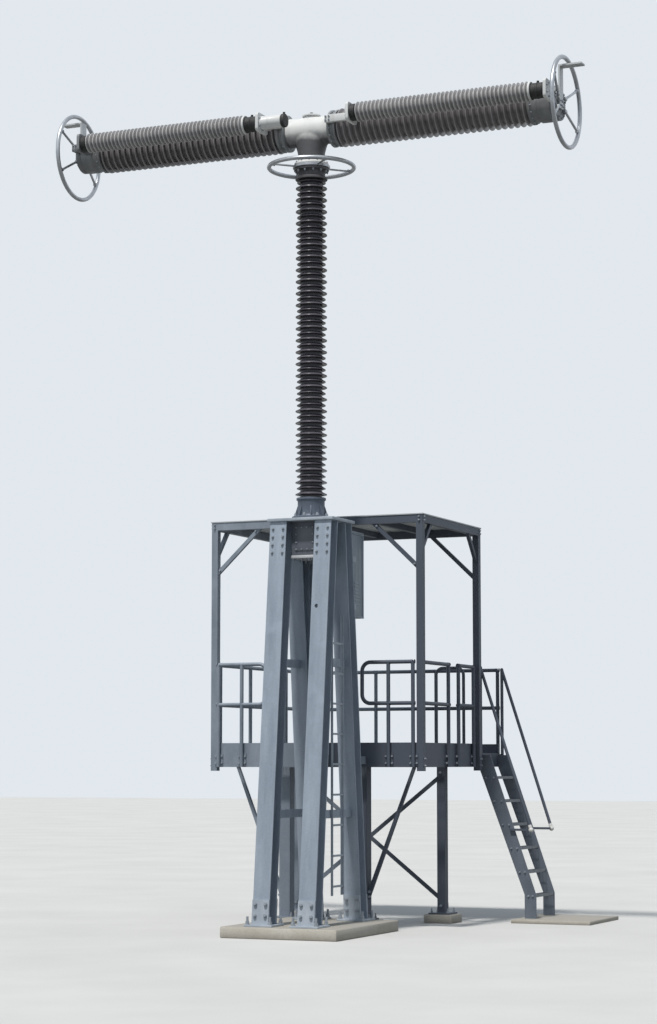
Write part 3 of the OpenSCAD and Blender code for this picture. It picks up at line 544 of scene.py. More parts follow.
bolts("gear_flange_bolts",
      [((x, y, GEAR_FLANGE[0][2]), (0, 0, -1))
       for x in (-0.12, -0.04, 0.04, 0.12) for y in (-0.138, 0.138)]
      + [((x, 0.0, GEAR_FLANGE[0][2]), (0, 0, -1)) for x in (-0.12, 0.12)], 0.024, thread=0.012)

shape = bmesh.new()
add_block(shape, *LINKAGE, edge=0.010, rounds=3)
for y in (0.170, 0.386):
    add_block(shape, (-0.100, y - 0.012, 3.844), (0.100, y + 0.004, 4.034), edge=0.002)
linkage = finished("linkage_cover_folded", shape, grey_paint)
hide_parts("linkage_cover")
for piece in (housing, flange, linkage):
    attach(piece, "root")

# --- Drive cabinet -----------------------------------------------------------
# The spring drive's cabinet: folded sheet with a lipped roof and base, a pressed door on
# three hinges towards the platform, louvres in both sides, and cable glands underneath.
CAB_X, CAB_Y0, CAB_Y1, CAB_LOW, CAB_TOP = 0.270, 0.394, 0.734, 3.170, 4.050
DOOR_X, DOOR_OUT, DOOR_LOW, DOOR_TOP = 0.256, 0.756, 3.184, 4.036
HINGE_X, HINGES_Z, HINGE_HALF = -DOOR_X + 0.004, (3.31, 3.61, 3.91), 0.035
HANDLE_X, HANDLE_LOW, HANDLE_TOP, LOCK_Z = 0.210, 3.545, 3.675, 3.50
GLANDS = ((-0.12, 0.50), (0.0, 0.50), (0.12, 0.50), (-0.06, 0.60), (0.06, 0.60))
LOUVRES_Y, LOUVRE_LOW, LOUVRE_OUT, LOUVRE_COUNT, LOUVRE_PITCH = (0.50, 0.63), 3.30, 0.0065, 7, 0.036

shape = bmesh.new()
add_block(shape, (-CAB_X + 0.008, CAB_Y0 + 0.004, CAB_LOW + 0.004),
          (CAB_X - 0.008, CAB_Y1 - 0.004, CAB_TOP - 0.004), edge=0.006, rounds=3)
add_block(shape, (-CAB_X, CAB_Y0, CAB_TOP - 0.030), (CAB_X, CAB_Y1, CAB_TOP), edge=0.006, rounds=3)
add_block(shape, (-CAB_X, CAB_Y0, CAB_LOW), (CAB_X, CAB_Y1, CAB_LOW + 0.018), edge=0.003)
for x in (-CAB_X + 0.002, CAB_X - 0.010):
    for y in (CAB_Y0 + 0.002, CAB_Y1 - 0.030):
        add_block(shape, (x, y, CAB_LOW + 0.01), (x + 0.008, y + 0.028, CAB_TOP - 0.02), edge=0.002)
shell = finished("cabinet_shell", shape, grey_paint)
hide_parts("drive_cabinet")

shape = bmesh.new()
add_block(shape, (-DOOR_X, CAB_Y1 + 0.004, DOOR_LOW), (DOOR_X, DOOR_OUT - 0.006, DOOR_TOP),
          edge=0.004, rounds=3)
add_block(shape, (-DOOR_X + 0.045, CAB_Y1 + 0.006, DOOR_LOW + 0.050),
          (DOOR_X - 0.095, DOOR_OUT, DOOR_TOP - 0.050), edge=0.005, rounds=3)
door = finished("cabinet_door_leaf", shape, grey_paint)
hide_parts("cabinet_door")

rubber, shader, place = start_finish("black_rubber")
coat(shader, tones(between(clouds(place, 30.0), 0.35, 0.7), (0.012, 0.012, 0.013),
                   (0.035, 0.035, 0.036)), between(clouds(place, 140.0), 0.3, 0.7, 0.5, 0.72))
shape = bmesh.new()
add_block(shape, (-DOOR_X + 0.010, CAB_Y1 - 0.006, DOOR_LOW + 0.010),
          (DOOR_X - 0.010, CAB_Y1 + 0.006, DOOR_TOP - 0.010), edge=0.002)
gasket = finished("cabinet_door_gasket", shape, rubber)


def turns(count, start=0.0):
    """The cosine and sine of even steps round a circle, from a first angle in degrees."""
    angles = [math.radians(start) + 2 * math.pi * k / count for k in range(count)]
    return [(math.cos(a), math.sin(a)) for a in angles]


def add_turned(shape, profile, at, along, sides=48, closed=False):
    """Turns pairs of radius and distance round an axis that starts at a point."""
    turn = Vector(along).to_track_quat("Z", "Y").to_matrix()
    rings = []
    for radius, far in profile:
        ring = [(radius * c, radius * s, far) for c, s in turns(sides)]
        rings.append([shape.verts.new(Vector(at) + turn @ Vector(spot))
                      for spot in (ring if radius else [(0, 0, far)])])
    pairs = list(zip(rings, rings[1:])) + ([(rings[-1], rings[0])] if closed else [])
    for one, other in pairs:
        if min(len(one), len(other)) > 1:
            join_loops(shape, one, other)
            continue
        for k in range(sides):
            n = (k + 1) % sides
            shape.faces.new((one[0], other[n], other[k]) if len(one) == 1
                            else (one[k], one[n], other[0]))
    if not closed:
        for end in (rings[0], rings[-1]):
            if len(end) > 1:
                shape.faces.new(end)


def add_rod(shape, start, end, radius, sides=16, ease=0.0):
    """A round bar between two points, with eased ends."""
    reach = Vector(end) - Vector(start)
    profile = [(radius - ease, 0.0), (radius, ease), (radius, reach.length - ease),
               (radius - ease, reach.length)]
    add_turned(shape, profile if ease else profile[1:3], start, reach, sides)


shape = bmesh.new()
for z in HINGES_Z:
    add_rod(shape, (HINGE_X, DOOR_OUT - 0.006, z - HINGE_HALF),
            (HINGE_X, DOOR_OUT - 0.006, z + HINGE_HALF), 0.006, ease=0.001)
    add_block(shape, (-DOOR_X + 0.006, DOOR_OUT - 0.007, z - 0.028),
              (-DOOR_X + 0.040, DOOR_OUT - 0.003, z + 0.028), edge=0.001)
for z in (HANDLE_LOW + 0.010, HANDLE_TOP - 0.010):
    add_rod(shape, (HANDLE_X, DOOR_OUT - 0.008, z), (HANDLE_X, DOOR_OUT + 0.003, z), 0.008)
add_rod(shape, (HANDLE_X, DOOR_OUT + 0.004, HANDLE_LOW), (HANDLE_X, DOOR_OUT + 0.004, HANDLE_TOP),
        0.0075, ease=0.002)
add_turned(shape, [(0.0, 0.0), (0.016, 0.0), (0.016, 0.006), (0.013, 0.008), (0.0, 0.008)],
           (HANDLE_X, DOOR_OUT - 0.006, LOCK_Z), (0, 1, 0), 24)
for x, y in GLANDS:
    add_turned(shape, [(0.0, 0.0), (0.024, 0.0), (0.024, 0.010), (0.019, 0.012), (0.019, 0.022),
                       (0.014, 0.028), (0.0, 0.028)], (x, y, CAB_LOW + 0.004), (0, 0, -1), 20)
fittings = finished("cabinet_hinges_handle_glands", shape, plate_zinc)

shape = bmesh.new()
for side in (-1, 1):
    face = side * (CAB_X - 0.008)
    hood = [(0.0, 0.0), (0.0, 0.026), (side * LOUVRE_OUT, 0.004), (side * LOUVRE_OUT, 0.0)]
    add_prism(shape, *([(face + out, y, LOUVRE_LOW + up) for out, up in hood] for y in LOUVRES_Y))
louvres = by_nodes("cabinet_louvres", mesh_of("louvre", shape), row_tree("louvre_row", grey_paint),
                   {"Count": LOUVRE_COUNT, "Pitch": (0.0, 0.0, LOUVRE_PITCH)})

for piece, slot in ((shell, "grey_paint"), (door, "grey_paint"), (louvres, "grey_paint"),
                    (fittings, "galvanised_steel"), (gasket, "grey_paint")):
    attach(piece, "root")
dress("cabinet_rails", plate_zinc)
bolts("cabinet_rail_bolts", [((x, CAB_Y0, z), (0, 1, 0)) for x in (-0.295, 0.295)
                             for z in (3.27, 3.75)], 0.024)

# --- Pole: flanges and support insulator -------------------------------------
# One tall hollow porcelain with long and short sheds in turn, glazed brown-grey, cemented
# into a cast flange at each end. The lower flange is ribbed, and both are bolted.
POST_FOOT, POST_LOW, POST_TOP, POST_HEAD, POST_CORE = 4.134, 4.356, 7.632, 7.754, 0.112
LONG_SHED, SHORT_SHED, SHED_PAIRS = 0.162, 0.148, 27
SHED_PITCH = (POST_TOP - POST_LOW) / SHED_PAIRS
RIB_COUNT, RIB_HALF = 8, 0.006


def bolt_ring(x, y, z, radius, count, along, start=0.0):
    """Places round a circle, all facing along X or Z by the sign of that number."""
    ring = [(radius * c, radius * s) for c, s in turns(count, start)]
    return [((x, y + u, z + v) if along[0] else (x + u, y + v, z), along) for u, v in ring]


def turned(name, finish, profile, at, along, sides=48):
    """A piece that is one turned shape."""
    shape = bmesh.new()
    add_turned(shape, profile, at, along, sides)
    return finished(name, shape, finish)


def distance_from(place, middle, along):
    """Distance from an axis through a point, along X or Z."""
    scale = (0.0, 1.0, 1.0) if along == "X" else (1.0, 1.0, 0.0)
    return add_node(place.id_data, "ShaderNodeVectorMath",
                    {0: stretched(place, scale, tuple(-c for c in middle))},
                    operation="LENGTH")["Value"]


def porcelain(name, glaze, worn_and_lit, middle, along, core, rim):
    """Dark glaze, thinner and paler at the rims, with dust and painted light on top and painted
    shade at the root.
    """
    made, shader, place = start_finish(name)
    out = distance_from(place, middle, along)
    mottled = clouds(place, 9.0, 5.0)
    speckle = clouds(place, 240.0, 2.0)
    tone = tones(between(mottled, 0.3, 0.7), glaze, shaded(glaze, 1.45))
    # Dust and painted light: faces that look up turn paler.
    tone = tones(between(upward(place), 0.15, 0.95, 0.0, 0.36), tone, worn_and_lit)
    tone = tones(between(out, rim - 0.012, rim - 0.002, 0.0, 0.75), tone, worn_and_lit)
    # Painted shade: darker near the core, between the sheds.
    tone = tones(between(out, core + 0.002, core + 0.022, 0.5, 0.0), tone, shaded(glaze, 0.4))
    tone = tones(between(speckle, 0.6, 0.75, 0.0, 0.3), tone, shaded(worn_and_lit, 0.6))
    coat(shader, tone, between(combined(mottled, upward(place)), 0.3, 1.3, 0.20, 0.38),
         speckle, 0.0003, 0.3)
    for name, number in (("Specular IOR Level", 0.28), ("Coat Weight", 0.05),
                         ("Coat Roughness", 0.2)):
        shader.inputs[name].default_value = number
    return made


def cast(name, pale, dull, metallic=0.35, shade_band=None):
    """Sand-cast aluminium: fine grain, soft stains, painted shade on down faces and between two
    heights if given.
    """
    made, shader, place = start_finish(name, metallic)
    grain = clouds(place, 260.0, 3.0)
    stains = clouds(stretched(place, (6.0, 6.0, 2.2)), 1.0, 6.0, 0.62)
    tone = tones(between(stains, 0.36, 0.66), dull, pale)
    # Painted shade: faces that look down are darker.
    tone = tones(between(upward(place), -0.9, -0.1, 0.35, 0.0), tone, shaded(dull, 0.62))
    tone = tones(between(grain, 0.55, 0.8, 0.0, 0.25), tone, shaded(dull, 0.7))
    # Painted shade: dark from the foot up to a ragged height, fading out above it.
    if shade_band:
        foot, head, black = shade_band
        shade_edge = combined(height_in(place), product(clouds(place, 9.0), 0.09))
        shade_mask = product(between(shade_edge, head, head + 0.10, 0.94, 0.0),
                        between(height_in(place), foot, foot + 0.02))
        tone = tones(shade_mask, tone, black)
    coat(shader, tone, between(stains, 0.3, 0.7, 0.56, 0.42), grain, 0.0008, 0.45)
    return made


def shed(core, rim, root_up, tip, drop):
    """Outline of one shed, closed inside the core: sloping top, round tip, flatter under."""
    reach = rim - core
    return [(core - 0.004, root_up), (core + 0.003, root_up - 0.002),
            (core + 0.010, root_up - 0.007), (core + reach * 0.55, drop + root_up * 0.42),
            (rim - tip, drop + tip * 1.1), (rim - tip * 0.3, drop + tip * 0.75),
            (rim, drop), (rim - tip * 0.3, drop - tip * 0.75), (rim - tip, drop - tip),
            (core + reach * 0.5, drop - tip * 0.6), (core + 0.010, drop + 0.001),
            (core + 0.003, drop + 0.005), (core - 0.004, drop + 0.006)]


def insulator(name, shape, glaze, count, pitch, core, start, end, sides):
    """A porcelain: one shed or pair of sheds set in a row, on a core between two points."""
    sheds = by_nodes("sheds", mesh_of("one_shed", shape), row_tree("shed_row", glaze),
                     {"Count": count, "Pitch": pitch}, 50.0)
    shape = bmesh.new()
    add_rod(shape, start, end, core, sides)
    return joined(name, sheds, finished("core", shape, glaze))


shape = bmesh.new()
add_turned(shape, [(0.0, POST_FOOT), (0.191, POST_FOOT), (0.195, 4.138), (0.195, 4.162),
                   (0.191, 4.166), (0.148, 4.168), (0.141, 4.176), (0.137, 4.190),
                   (0.137, 4.322), (0.141, 4.330), (0.147, 4.332), (0.150, 4.336),
                   (0.150, 4.352), (0.146, POST_LOW), (0.0, POST_LOW)],
           (0, 0, 0), (0, 0, 1), 64)
for k in range(RIB_COUNT):
    turn = Matrix.Rotation(math.radians(22.5 + 360 / RIB_COUNT * k), 4, "Z")
    add_prism(shape, *([turn @ Vector((out, half, z)) for out, z in (
        (0.132, 4.162), (0.170, 4.162), (0.170, 4.172), (0.139, 4.27), (0.132, 4.27))]
        for half in (-RIB_HALF, RIB_HALF)))
low_flange = finished("lower_flange_casting", shape, cast(
    "cast_flange", (0.150, 0.183, 0.235), (0.088, 0.108, 0.142), 0.25))
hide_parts("lower_flange")
bolts("lower_flange_bolts", bolt_ring(0, 0, 4.166, 0.168, 8, (0, 0, 1)), 0.030, thread=0.010)

up_flange = turned("upper_flange_casting", cast(
    "weathered_flange", (0.120, 0.118, 0.128), (0.068, 0.067, 0.074), 0.2),
    [(0.0, POST_TOP), (0.161, POST_TOP), (0.165, 7.636), (0.165, 7.654), (0.160, 7.660),
     (0.146, 7.664), (0.140, 7.672), (0.140, 7.716), (0.146, 7.724), (0.176, 7.727),
     (0.180, 7.731), (0.180, 7.750), (0.176, POST_HEAD), (0.0, POST_HEAD)],
    (0, 0, 0), (0, 0, 1), 64)
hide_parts("upper_flange")
bolts("upper_flange_bolts", bolt_ring(0, 0, 7.727, 0.163, 12, (0, 0, -1)), 0.020, thread=0.008)

post_glaze = porcelain("post_glaze", (0.062, 0.058, 0.071), (0.135, 0.130, 0.150), (0, 0, 0), "Z",
                       POST_CORE, LONG_SHED)
shape = bmesh.new()
for rim, root, lift in ((LONG_SHED, 0.034, 0.0), (SHORT_SHED, 0.030, SHED_PITCH / 2)):
    add_turned(shape, shed(POST_CORE, rim, root, 0.006, 0.004),
               (0, 0, POST_LOW + 0.030 + lift), (0, 0, 1), 48, closed=True)
post = insulator("support_insulator_porcelain", shape, post_glaze, SHED_PAIRS,
                 (0.0, 0.0, SHED_PITCH), POST_CORE, (0, 0, POST_LOW - 0.01),
                 (0, 0, POST_TOP + 0.01), 64)
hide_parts("support_insulator")
for piece, slot in ((low_flange, "cast_aluminium"), (up_flange, "cast_aluminium"),
                    (post, "brown_porcelain")):
    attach(piece, "root")

# --- Ring round the pole's head ----------------------------------------------
# A smooth aluminium tube bent to a ring and welded shut, on four rods that are clamped
# under a round plate between the pole's flange and the head. It evens out the field.
RING_TUBE = 0.022
POST_RING_Z, POST_RING_R = 7.767, 0.436

ring_metal, shader, place = start_finish("ring_aluminium", 0.8)
tone = tones(between(clouds(place, 6.0, 6.0), 0.3, 0.7), (0.36, 0.38, 0.41), (0.54, 0.56, 0.59))
tone = tones(between(clouds(place, 55.0), 0.58, 0.75, 0.0, 0.4), tone, (0.26, 0.27, 0.29))
coat(shader, tone, between(clouds(place, 18.0), 0.3, 0.7, 0.26, 0.44),
     clouds(place, 300.0, 2.0), 0.0003, 0.3)


def add_ring(shape, middle, along, radius, tube, around=112, sides=20):
    """A tube bent to a whole ring."""
    turn = Vector(along).to_track_quat("Z", "Y").to_matrix()
    loops = [[shape.verts.new(Vector(middle) + turn @ Vector(
        ((radius + tube * u) * c, (radius + tube * u) * s, tube * v)))
        for u, v in turns(sides)] for c, s in turns(around)]
    for i, loop in enumerate(loops):
        join_loops(shape, loop, loops[(i + 1) % around])


shape = bmesh.new()
add_ring(shape, (0, 0, POST_RING_Z), (0, 0, 1), POST_RING_R, RING_TUBE)
add_turned(shape, [(0.0, POST_HEAD), (0.190, POST_HEAD), (0.192, 7.756), (0.192, 7.778),
                   (0.190, 7.780), (0.0, 7.780)], (0, 0, 0), (0, 0, 1), 64)
for a in (45, 135, 225, 315):
    way = Vector((math.cos(math.radians(a)), math.sin(math.radians(a)), 0))
    base = Vector((0, 0, POST_RING_Z))
    add_rod(shape, base + way * 0.170, base + way * (POST_RING_R - 0.004), 0.010)
    add_turned(shape, [(0.0, 0.0), (0.020, 0.0), (0.020, 0.014), (0.013, 0.020), (0.0, 0.020)],
               base + way * (POST_RING_R - RING_TUBE - 0.014), way, 20)
post_ring = finished("pole_head_ring", shape, ring_metal)
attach(post_ring, "root")
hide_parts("post_ring")

# --- Head casting ------------------------------------------------------------
# One aluminium casting joins the pole and both arms: a level barrel on a short neck, with
# a capped boss on top. Its corners are rounded as a casting's are, then it is painted pale.
HEAD_Z, HEAD_FOOT = 8.146, 7.780
BARREL_R, BARREL_X, NECK_R, BOSS_R, BOSS_TOP = 0.150, 0.240, 0.136, 0.096, 8.320
FUNNEL = ((7.850, 0.137, 0.137), (7.920, 0.141, 0.139), (7.985, 0.162, 0.141),
          (8.050, 0.196, 0.140), (8.120, 0.216, 0.134))

# From 7.83 m up to about 8.1 m the head is painted dark, as shade under the barrel.
head_metal = cast("head_casting_finish", (0.80, 0.80, 0.785), (0.71, 0.72, 0.72), 0.0,
                  (7.83, 8.06, (0.052, 0.052, 0.060)))
shape = bmesh.new()
add_turned(shape, [(0.0, 0.0), (0.178, 0.0), (0.178, 0.028), (0.146, 0.036), (NECK_R, 0.060),
                   (NECK_R, HEAD_Z - HEAD_FOOT), (0.0, HEAD_Z - HEAD_FOOT)],
           (0, 0, HEAD_FOOT), (0, 0, 1), 64)
add_turned(shape, [(0.0, -BARREL_X), (BARREL_R, -BARREL_X), (BARREL_R, -0.200),
                   (BARREL_R - 0.008, -0.180), (BARREL_R - 0.008, 0.180), (BARREL_R, 0.200),
                   (BARREL_R, BARREL_X), (0.0, BARREL_X)], (0, 0, HEAD_Z), (1, 0, 0), 64)
add_turned(shape, [(0.0, 0.0), (BOSS_R - 0.012, 0.0), (BOSS_R - 0.012, BOSS_TOP - HEAD_Z - 0.020),
                   (0.0, BOSS_TOP - HEAD_Z - 0.020)], (0, 0, HEAD_Z), (0, 0, 1), 48)
loops = [[shape.verts.new((across * c, deep * s, z)) for c, s in turns(64)]
         for z, across, deep in FUNNEL]
for one, other in zip(loops, loops[1:]):
    join_loops(shape, one, other)
shape.faces.new(loops[0])
shape.faces.new(loops[-1])
rough_head = finished("rough_head", shape, head_metal)
whole = rough_head.modifiers.new("one_skin", "REMESH")
whole.mode = "VOXEL"
whole.voxel_size = 0.0075
soft = rough_head.modifiers.new("cast_corners", "SMOOTH")
soft.factor = 0.5
soft.iterations = 12
skin = carried_out(rough_head)
bpy.data.objects.remove(rough_head)
shape = bmesh.new()
shape.from_mesh(skin)
add_turned(shape, [(0.0, 0.0), (BOSS_R - 0.002, 0.0), (BOSS_R, 0.002), (BOSS_R, 0.014),
                   (BOSS_R - 0.003, 0.017), (0.030, 0.020), (0.026, 0.024), (0.0, 0.024)],
           (0, 0, BOSS_TOP - 0.024), (0, 0, 1), 48)
head = finished("head_casting_body", shape, head_metal, 40.0)
plug = turned("head_filling_plug", rubber,
              [(0.0, 0.0), (0.022, 0.0), (0.022, 0.010), (0.018, 0.014), (0.018, 0.024),
               (0.014, 0.028), (0.0, 0.028)], (0, 0, BOSS_TOP - 0.004), (0, 0, 1), 24)
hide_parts("head_casting")
for piece in (head, plug):
    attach(piece, "root")
bolts("head_foot_bolts", bolt_ring(0, 0, HEAD_FOOT + 0.026, 0.161, 12, (0, 0, 1), 15.0), 0.018)
bolts("head_cap_bolts", bolt_ring(0, 0, BOSS_TOP - 0.011, 0.082, 8, (0, 0, 1)), 0.010,
      0.005, 0.0)

# --- Interrupters ------------------------------------------------------------
# Each arm is a hollow porcelain round the contacts, with close even sheds, cemented into
# a ribbed collar at the head and into the end fitting at its far end.
ARM_IN, ARM_OUT = 0.335, 2.388
ARM_CORE, ARM_RIM, ARM_SHEDS = 0.150, 0.198, 31
ARM_PITCH = (ARM_OUT - ARM_IN) / ARM_SHEDS
LUG_Z, LUG_HALF, LUG_FRONT, LUG_BACK = 8.191, 0.038, -0.205, -0.060
LUG_IN, LUG_OUT = 0.252, 0.323


def add_lug(shape, side, near, far):
    """The lug that stands forward from an arm's end to hold the capacitor's bracket."""
    low, high = sorted((side * near, side * far))
    add_block(shape, (low, LUG_FRONT, LUG_Z - LUG_HALF), (high, LUG_BACK, LUG_Z + LUG_HALF),
              edge=0.006)


collar_metal = cast("collar_metal", (0.34, 0.35, 0.36), (0.21, 0.22, 0.23))
arm_glaze = porcelain("arm_glaze", (0.25, 0.238, 0.248), (0.34, 0.33, 0.335),
                      (0, 0, HEAD_Z), "X", ARM_CORE, ARM_RIM)
for side, name in ((1, "right"), (-1, "left")):
    shape = bmesh.new()
    add_turned(shape, shed(ARM_CORE, ARM_RIM, 0.018, 0.006, -0.004),
               (side * (ARM_IN + ARM_PITCH * 0.5), 0, HEAD_Z), (side, 0, 0), 56, closed=True)
    arm = insulator(name + "_interrupter_porcelain", shape, arm_glaze, ARM_SHEDS,
                    (side * ARM_PITCH, 0.0, 0.0), ARM_CORE, (side * (ARM_IN - 0.01), 0, HEAD_Z),
                    (side * (ARM_OUT + 0.01), 0, HEAD_Z), 64)
    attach(arm, "root")
    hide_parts(name + "_interrupter")

    shape = bmesh.new()
    add_turned(shape, [(0.0, 0.242), (0.182, 0.242), (0.190, 0.246), (0.190, 0.266),
                       (0.182, 0.272), (0.170, 0.276), (0.168, 0.296), (0.176, 0.304),
                       (0.187, 0.308), (0.190, 0.312), (0.190, 0.331), (0.186, ARM_IN),
                       (0.0, ARM_IN)], (0, 0, HEAD_Z), (side, 0, 0), 64)
    add_lug(shape, side, LUG_IN, LUG_OUT)
    collar = finished(name + "_interrupter_collar", shape, collar_metal)
    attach(collar, "root")
    bolts(name + "_collar_bolts", bolt_ring(side * 0.266, 0, HEAD_Z, 0.180, 16, (side, 0, 0), 11.0),
          0.016, 0.010, 0.004)

# --- End fittings ------------------------------------------------------------
# Cast aluminium pots that close the arms: a bolted flange, a plain body with a thick lip,
# and an end disc that carries the terminal, the ring and the capacitor's bracket.
FIT_OUT = 2.676
fitting_metal = cast("fitting_metal", (0.31, 0.32, 0.335), (0.20, 0.21, 0.22))
for side, name in ((1, "right"), (-1, "left")):
    shape = bmesh.new()
    add_turned(shape, [(0.0, ARM_OUT), (0.186, ARM_OUT), (0.190, 2.392), (0.190, 2.414),
                       (0.187, 2.418), (0.178, 2.420), (0.172, 2.428), (0.170, 2.480),
                       (0.174, 2.486), (0.180, 2.490), (0.180, 2.606), (0.176, 2.612),
                       (0.168, 2.616), (0.168, 2.624), (0.173, 2.629), (0.175, 2.634),
                       (0.175, 2.670), (0.171, FIT_OUT), (0.120, FIT_OUT), (0.116, 2.670),
                       (0.0, 2.670)], (0, 0, HEAD_Z), (side, 0, 0), 64)
    add_lug(shape, side, 2.614, FIT_OUT)
    fitting = finished(name + "_end_pot", shape, fitting_metal)
    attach(fitting, "root")
    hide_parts(name + "_end_fitting")
    for kind, x, circle, count, start, across, thread in (
            ("flange", 2.418, 0.181, 16, 11.0, 0.014, 0.004),
            ("disc", FIT_OUT, 0.148, 12, 15.0, 0.018, 0.0)):
        bolts(f"{name}_end_{kind}_bolts",
              bolt_ring(side * x, 0, HEAD_Z, circle, count, (side, 0, 0), start),
              across, 0.010, thread)

# --- Grading capacitors ------------------------------------------------------
# A thinner porcelain along the front of each arm, paler than the arms. It has a metal disc
# at one end and a short black cap at the other, and is held by both brackets.
CAP_Y, CAP_CORE, CAP_RIM, CAP_SHEDS = -0.350, 0.070, 0.102, 42
RIGHT_CAP, LEFT_CAP, CAP_DISC, CAP_LENGTH = 0.596, -2.480, 0.060, 1.825
CAP_PITCH = CAP_LENGTH / CAP_SHEDS

cap_glaze = porcelain("capacitor_glaze", (0.39, 0.38, 0.385), (0.62, 0.62, 0.62),
                      (0, CAP_Y, LUG_Z), "X", CAP_CORE, CAP_RIM)
for start, name in ((RIGHT_CAP, "right"), (LEFT_CAP, "left")):
    foot = start + CAP_DISC
    shape = bmesh.new()
    add_turned(shape, shed(CAP_CORE, CAP_RIM, 0.013, 0.004, -0.003),
               (foot + CAP_PITCH * 0.5, CAP_Y, LUG_Z), (1, 0, 0), 40, closed=True)
    capacitor = insulator(name + "_capacitor_porcelain", shape, cap_glaze, CAP_SHEDS,
                          (CAP_PITCH, 0.0, 0.0), CAP_CORE, (start + 0.05, CAP_Y, LUG_Z),
                          (start + 0.07 + CAP_LENGTH, CAP_Y, LUG_Z), 48)
    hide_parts(name + "_capacitor")

    disc = turned(name + "_capacitor_disc", rubber,
                  [(0.0, 0.0), (0.082, 0.0), (0.086, 0.004), (0.086, 0.052),
                   (0.080, CAP_DISC), (0.0, CAP_DISC)], (start, CAP_Y, LUG_Z), (1, 0, 0))
    cap_at = foot + CAP_LENGTH
    cap_flange = turned(name + "_capacitor_flange", head_metal,
                        [(0.0, 0.0), (0.092, 0.0), (0.096, 0.004), (0.096, 0.018),
                         (0.092, 0.022), (0.0, 0.022)], (cap_at, CAP_Y, LUG_Z), (1, 0, 0))
    shape = bmesh.new()
    add_turned(shape, [(0.0, 0.020), (0.084, 0.020), (0.086, 0.026), (0.078, 0.032), (0.077, 0.074),
                       (0.081, 0.078), (0.081, 0.092), (0.077, 0.096), (0.078, 0.146),
                       (0.086, 0.152), (0.086, 0.165), (0.0, 0.165)],
               (cap_at, CAP_Y, LUG_Z), (1, 0, 0))
    add_rod(shape, (cap_at + 0.085, CAP_Y, LUG_Z + 0.07), (cap_at + 0.085, CAP_Y, LUG_Z + 0.098),
            0.013, ease=0.002)
    cap = finished(name + "_capacitor_cap", shape, rubber)
    for piece, slot in ((capacitor, "brown_porcelain"), (disc, "cast_aluminium"),
                        (cap_flange, "cast_aluminium"), (cap, "brown_porcelain")):
        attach(piece, "root")

# --- Capacitor brackets ------------------------------------------------------
# White-painted plates with a level arm back to each lug, bolted through at both ends. On
# the inner end of the left arm the bracket also holds a short closing-resistor can.
PLATE_LOW, PLATE_TOP, PLATE_FRONT, PLATE_T = 8.095, 8.287, -0.446, 0.030
ARM_FRONT, CAN_X = -0.255, -0.400
bracket_paint = paint("bracket_white", (0.66, 0.67, 0.67), (0.40, 0.40, 0.39), 0.38)
for name, finish, arms, plates in (
        ("capacitor_bracket_plates", bracket_paint,
         ((LUG_IN, RIGHT_CAP), (CAN_X - PLATE_T, -LUG_IN)), (0.566, 2.646, CAN_X - PLATE_T)),
        ("left_outer_bracket", fitting_metal, ((-FIT_OUT, LEFT_CAP),), (-2.510,))):
    shape = bmesh.new()
    for low, high in arms:
        add_block(shape, (low, ARM_FRONT, LUG_Z - LUG_HALF), (high, LUG_FRONT, LUG_Z + LUG_HALF),
                  edge=0.005)
    for low in plates:
        made = bmesh.ops.create_cube(shape, size=1.0, matrix=Matrix.Translation(
            (low + PLATE_T / 2, (PLATE_FRONT + LUG_FRONT) / 2, (PLATE_LOW + PLATE_TOP) / 2))
            @ Matrix.Diagonal((PLATE_T, LUG_FRONT - PLATE_FRONT, PLATE_TOP - PLATE_LOW, 1.0)))
        uprights = {e for v in made["verts"] for e in v.link_edges
                    if abs(e.verts[0].co.x - e.verts[1].co.x) > PLATE_T / 2}
        bmesh.ops.bevel(shape, geom=list(uprights), offset=0.034, segments=5,
                        affect="EDGES", profile=0.5)
    bracket = finished(name, shape, finish, 40.0)
    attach(bracket, "root")
    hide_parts("capacitor_brackets")
can = turned("closing_resistor_can", bracket_paint,
             [(0.0, 0.0), (0.066, 0.0), (0.070, 0.004), (0.070, 0.022), (0.066, 0.028),
              (0.066, 0.236), (0.0, 0.236)], (CAN_X, CAP_Y, LUG_Z), (1, 0, 0))
shape = bmesh.new()
add_turned(shape, [(0.0, 0.230), (0.066, 0.230), (0.070, 0.236), (0.070, 0.264), (0.066, 0.270),
                   (0.0, 0.270)], (CAN_X, CAP_Y, LUG_Z), (1, 0, 0))
add_rod(shape, (-0.150, CAP_Y, LUG_Z + 0.06), (-0.150, CAP_Y, LUG_Z + 0.088), 0.013, ease=0.002)
can_end = finished("closing_resistor_end", shape, rubber)
for piece in (can, can_end):
    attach(piece, "root")
held = [place for x, side in ((0.566, -1), (2.676, 1), (-2.510, -1), (CAN_X, 1))
        for place in bolt_ring(x, CAP_Y, LUG_Z, 0.070, 6, (side, 0, 0), 30.0)]
bolts("capacitor_bolts", held, 0.018, 0.011, 0.004)
bolts("bracket_arm_bolts",
      [((x, ARM_FRONT, LUG_Z + z), (0, -1, 0))
       for x in (0.270, 0.305, -0.270, -0.305, -2.630, -2.660) for z in (-0.020, 0.020)],
      0.016, 0.010, 0.0)

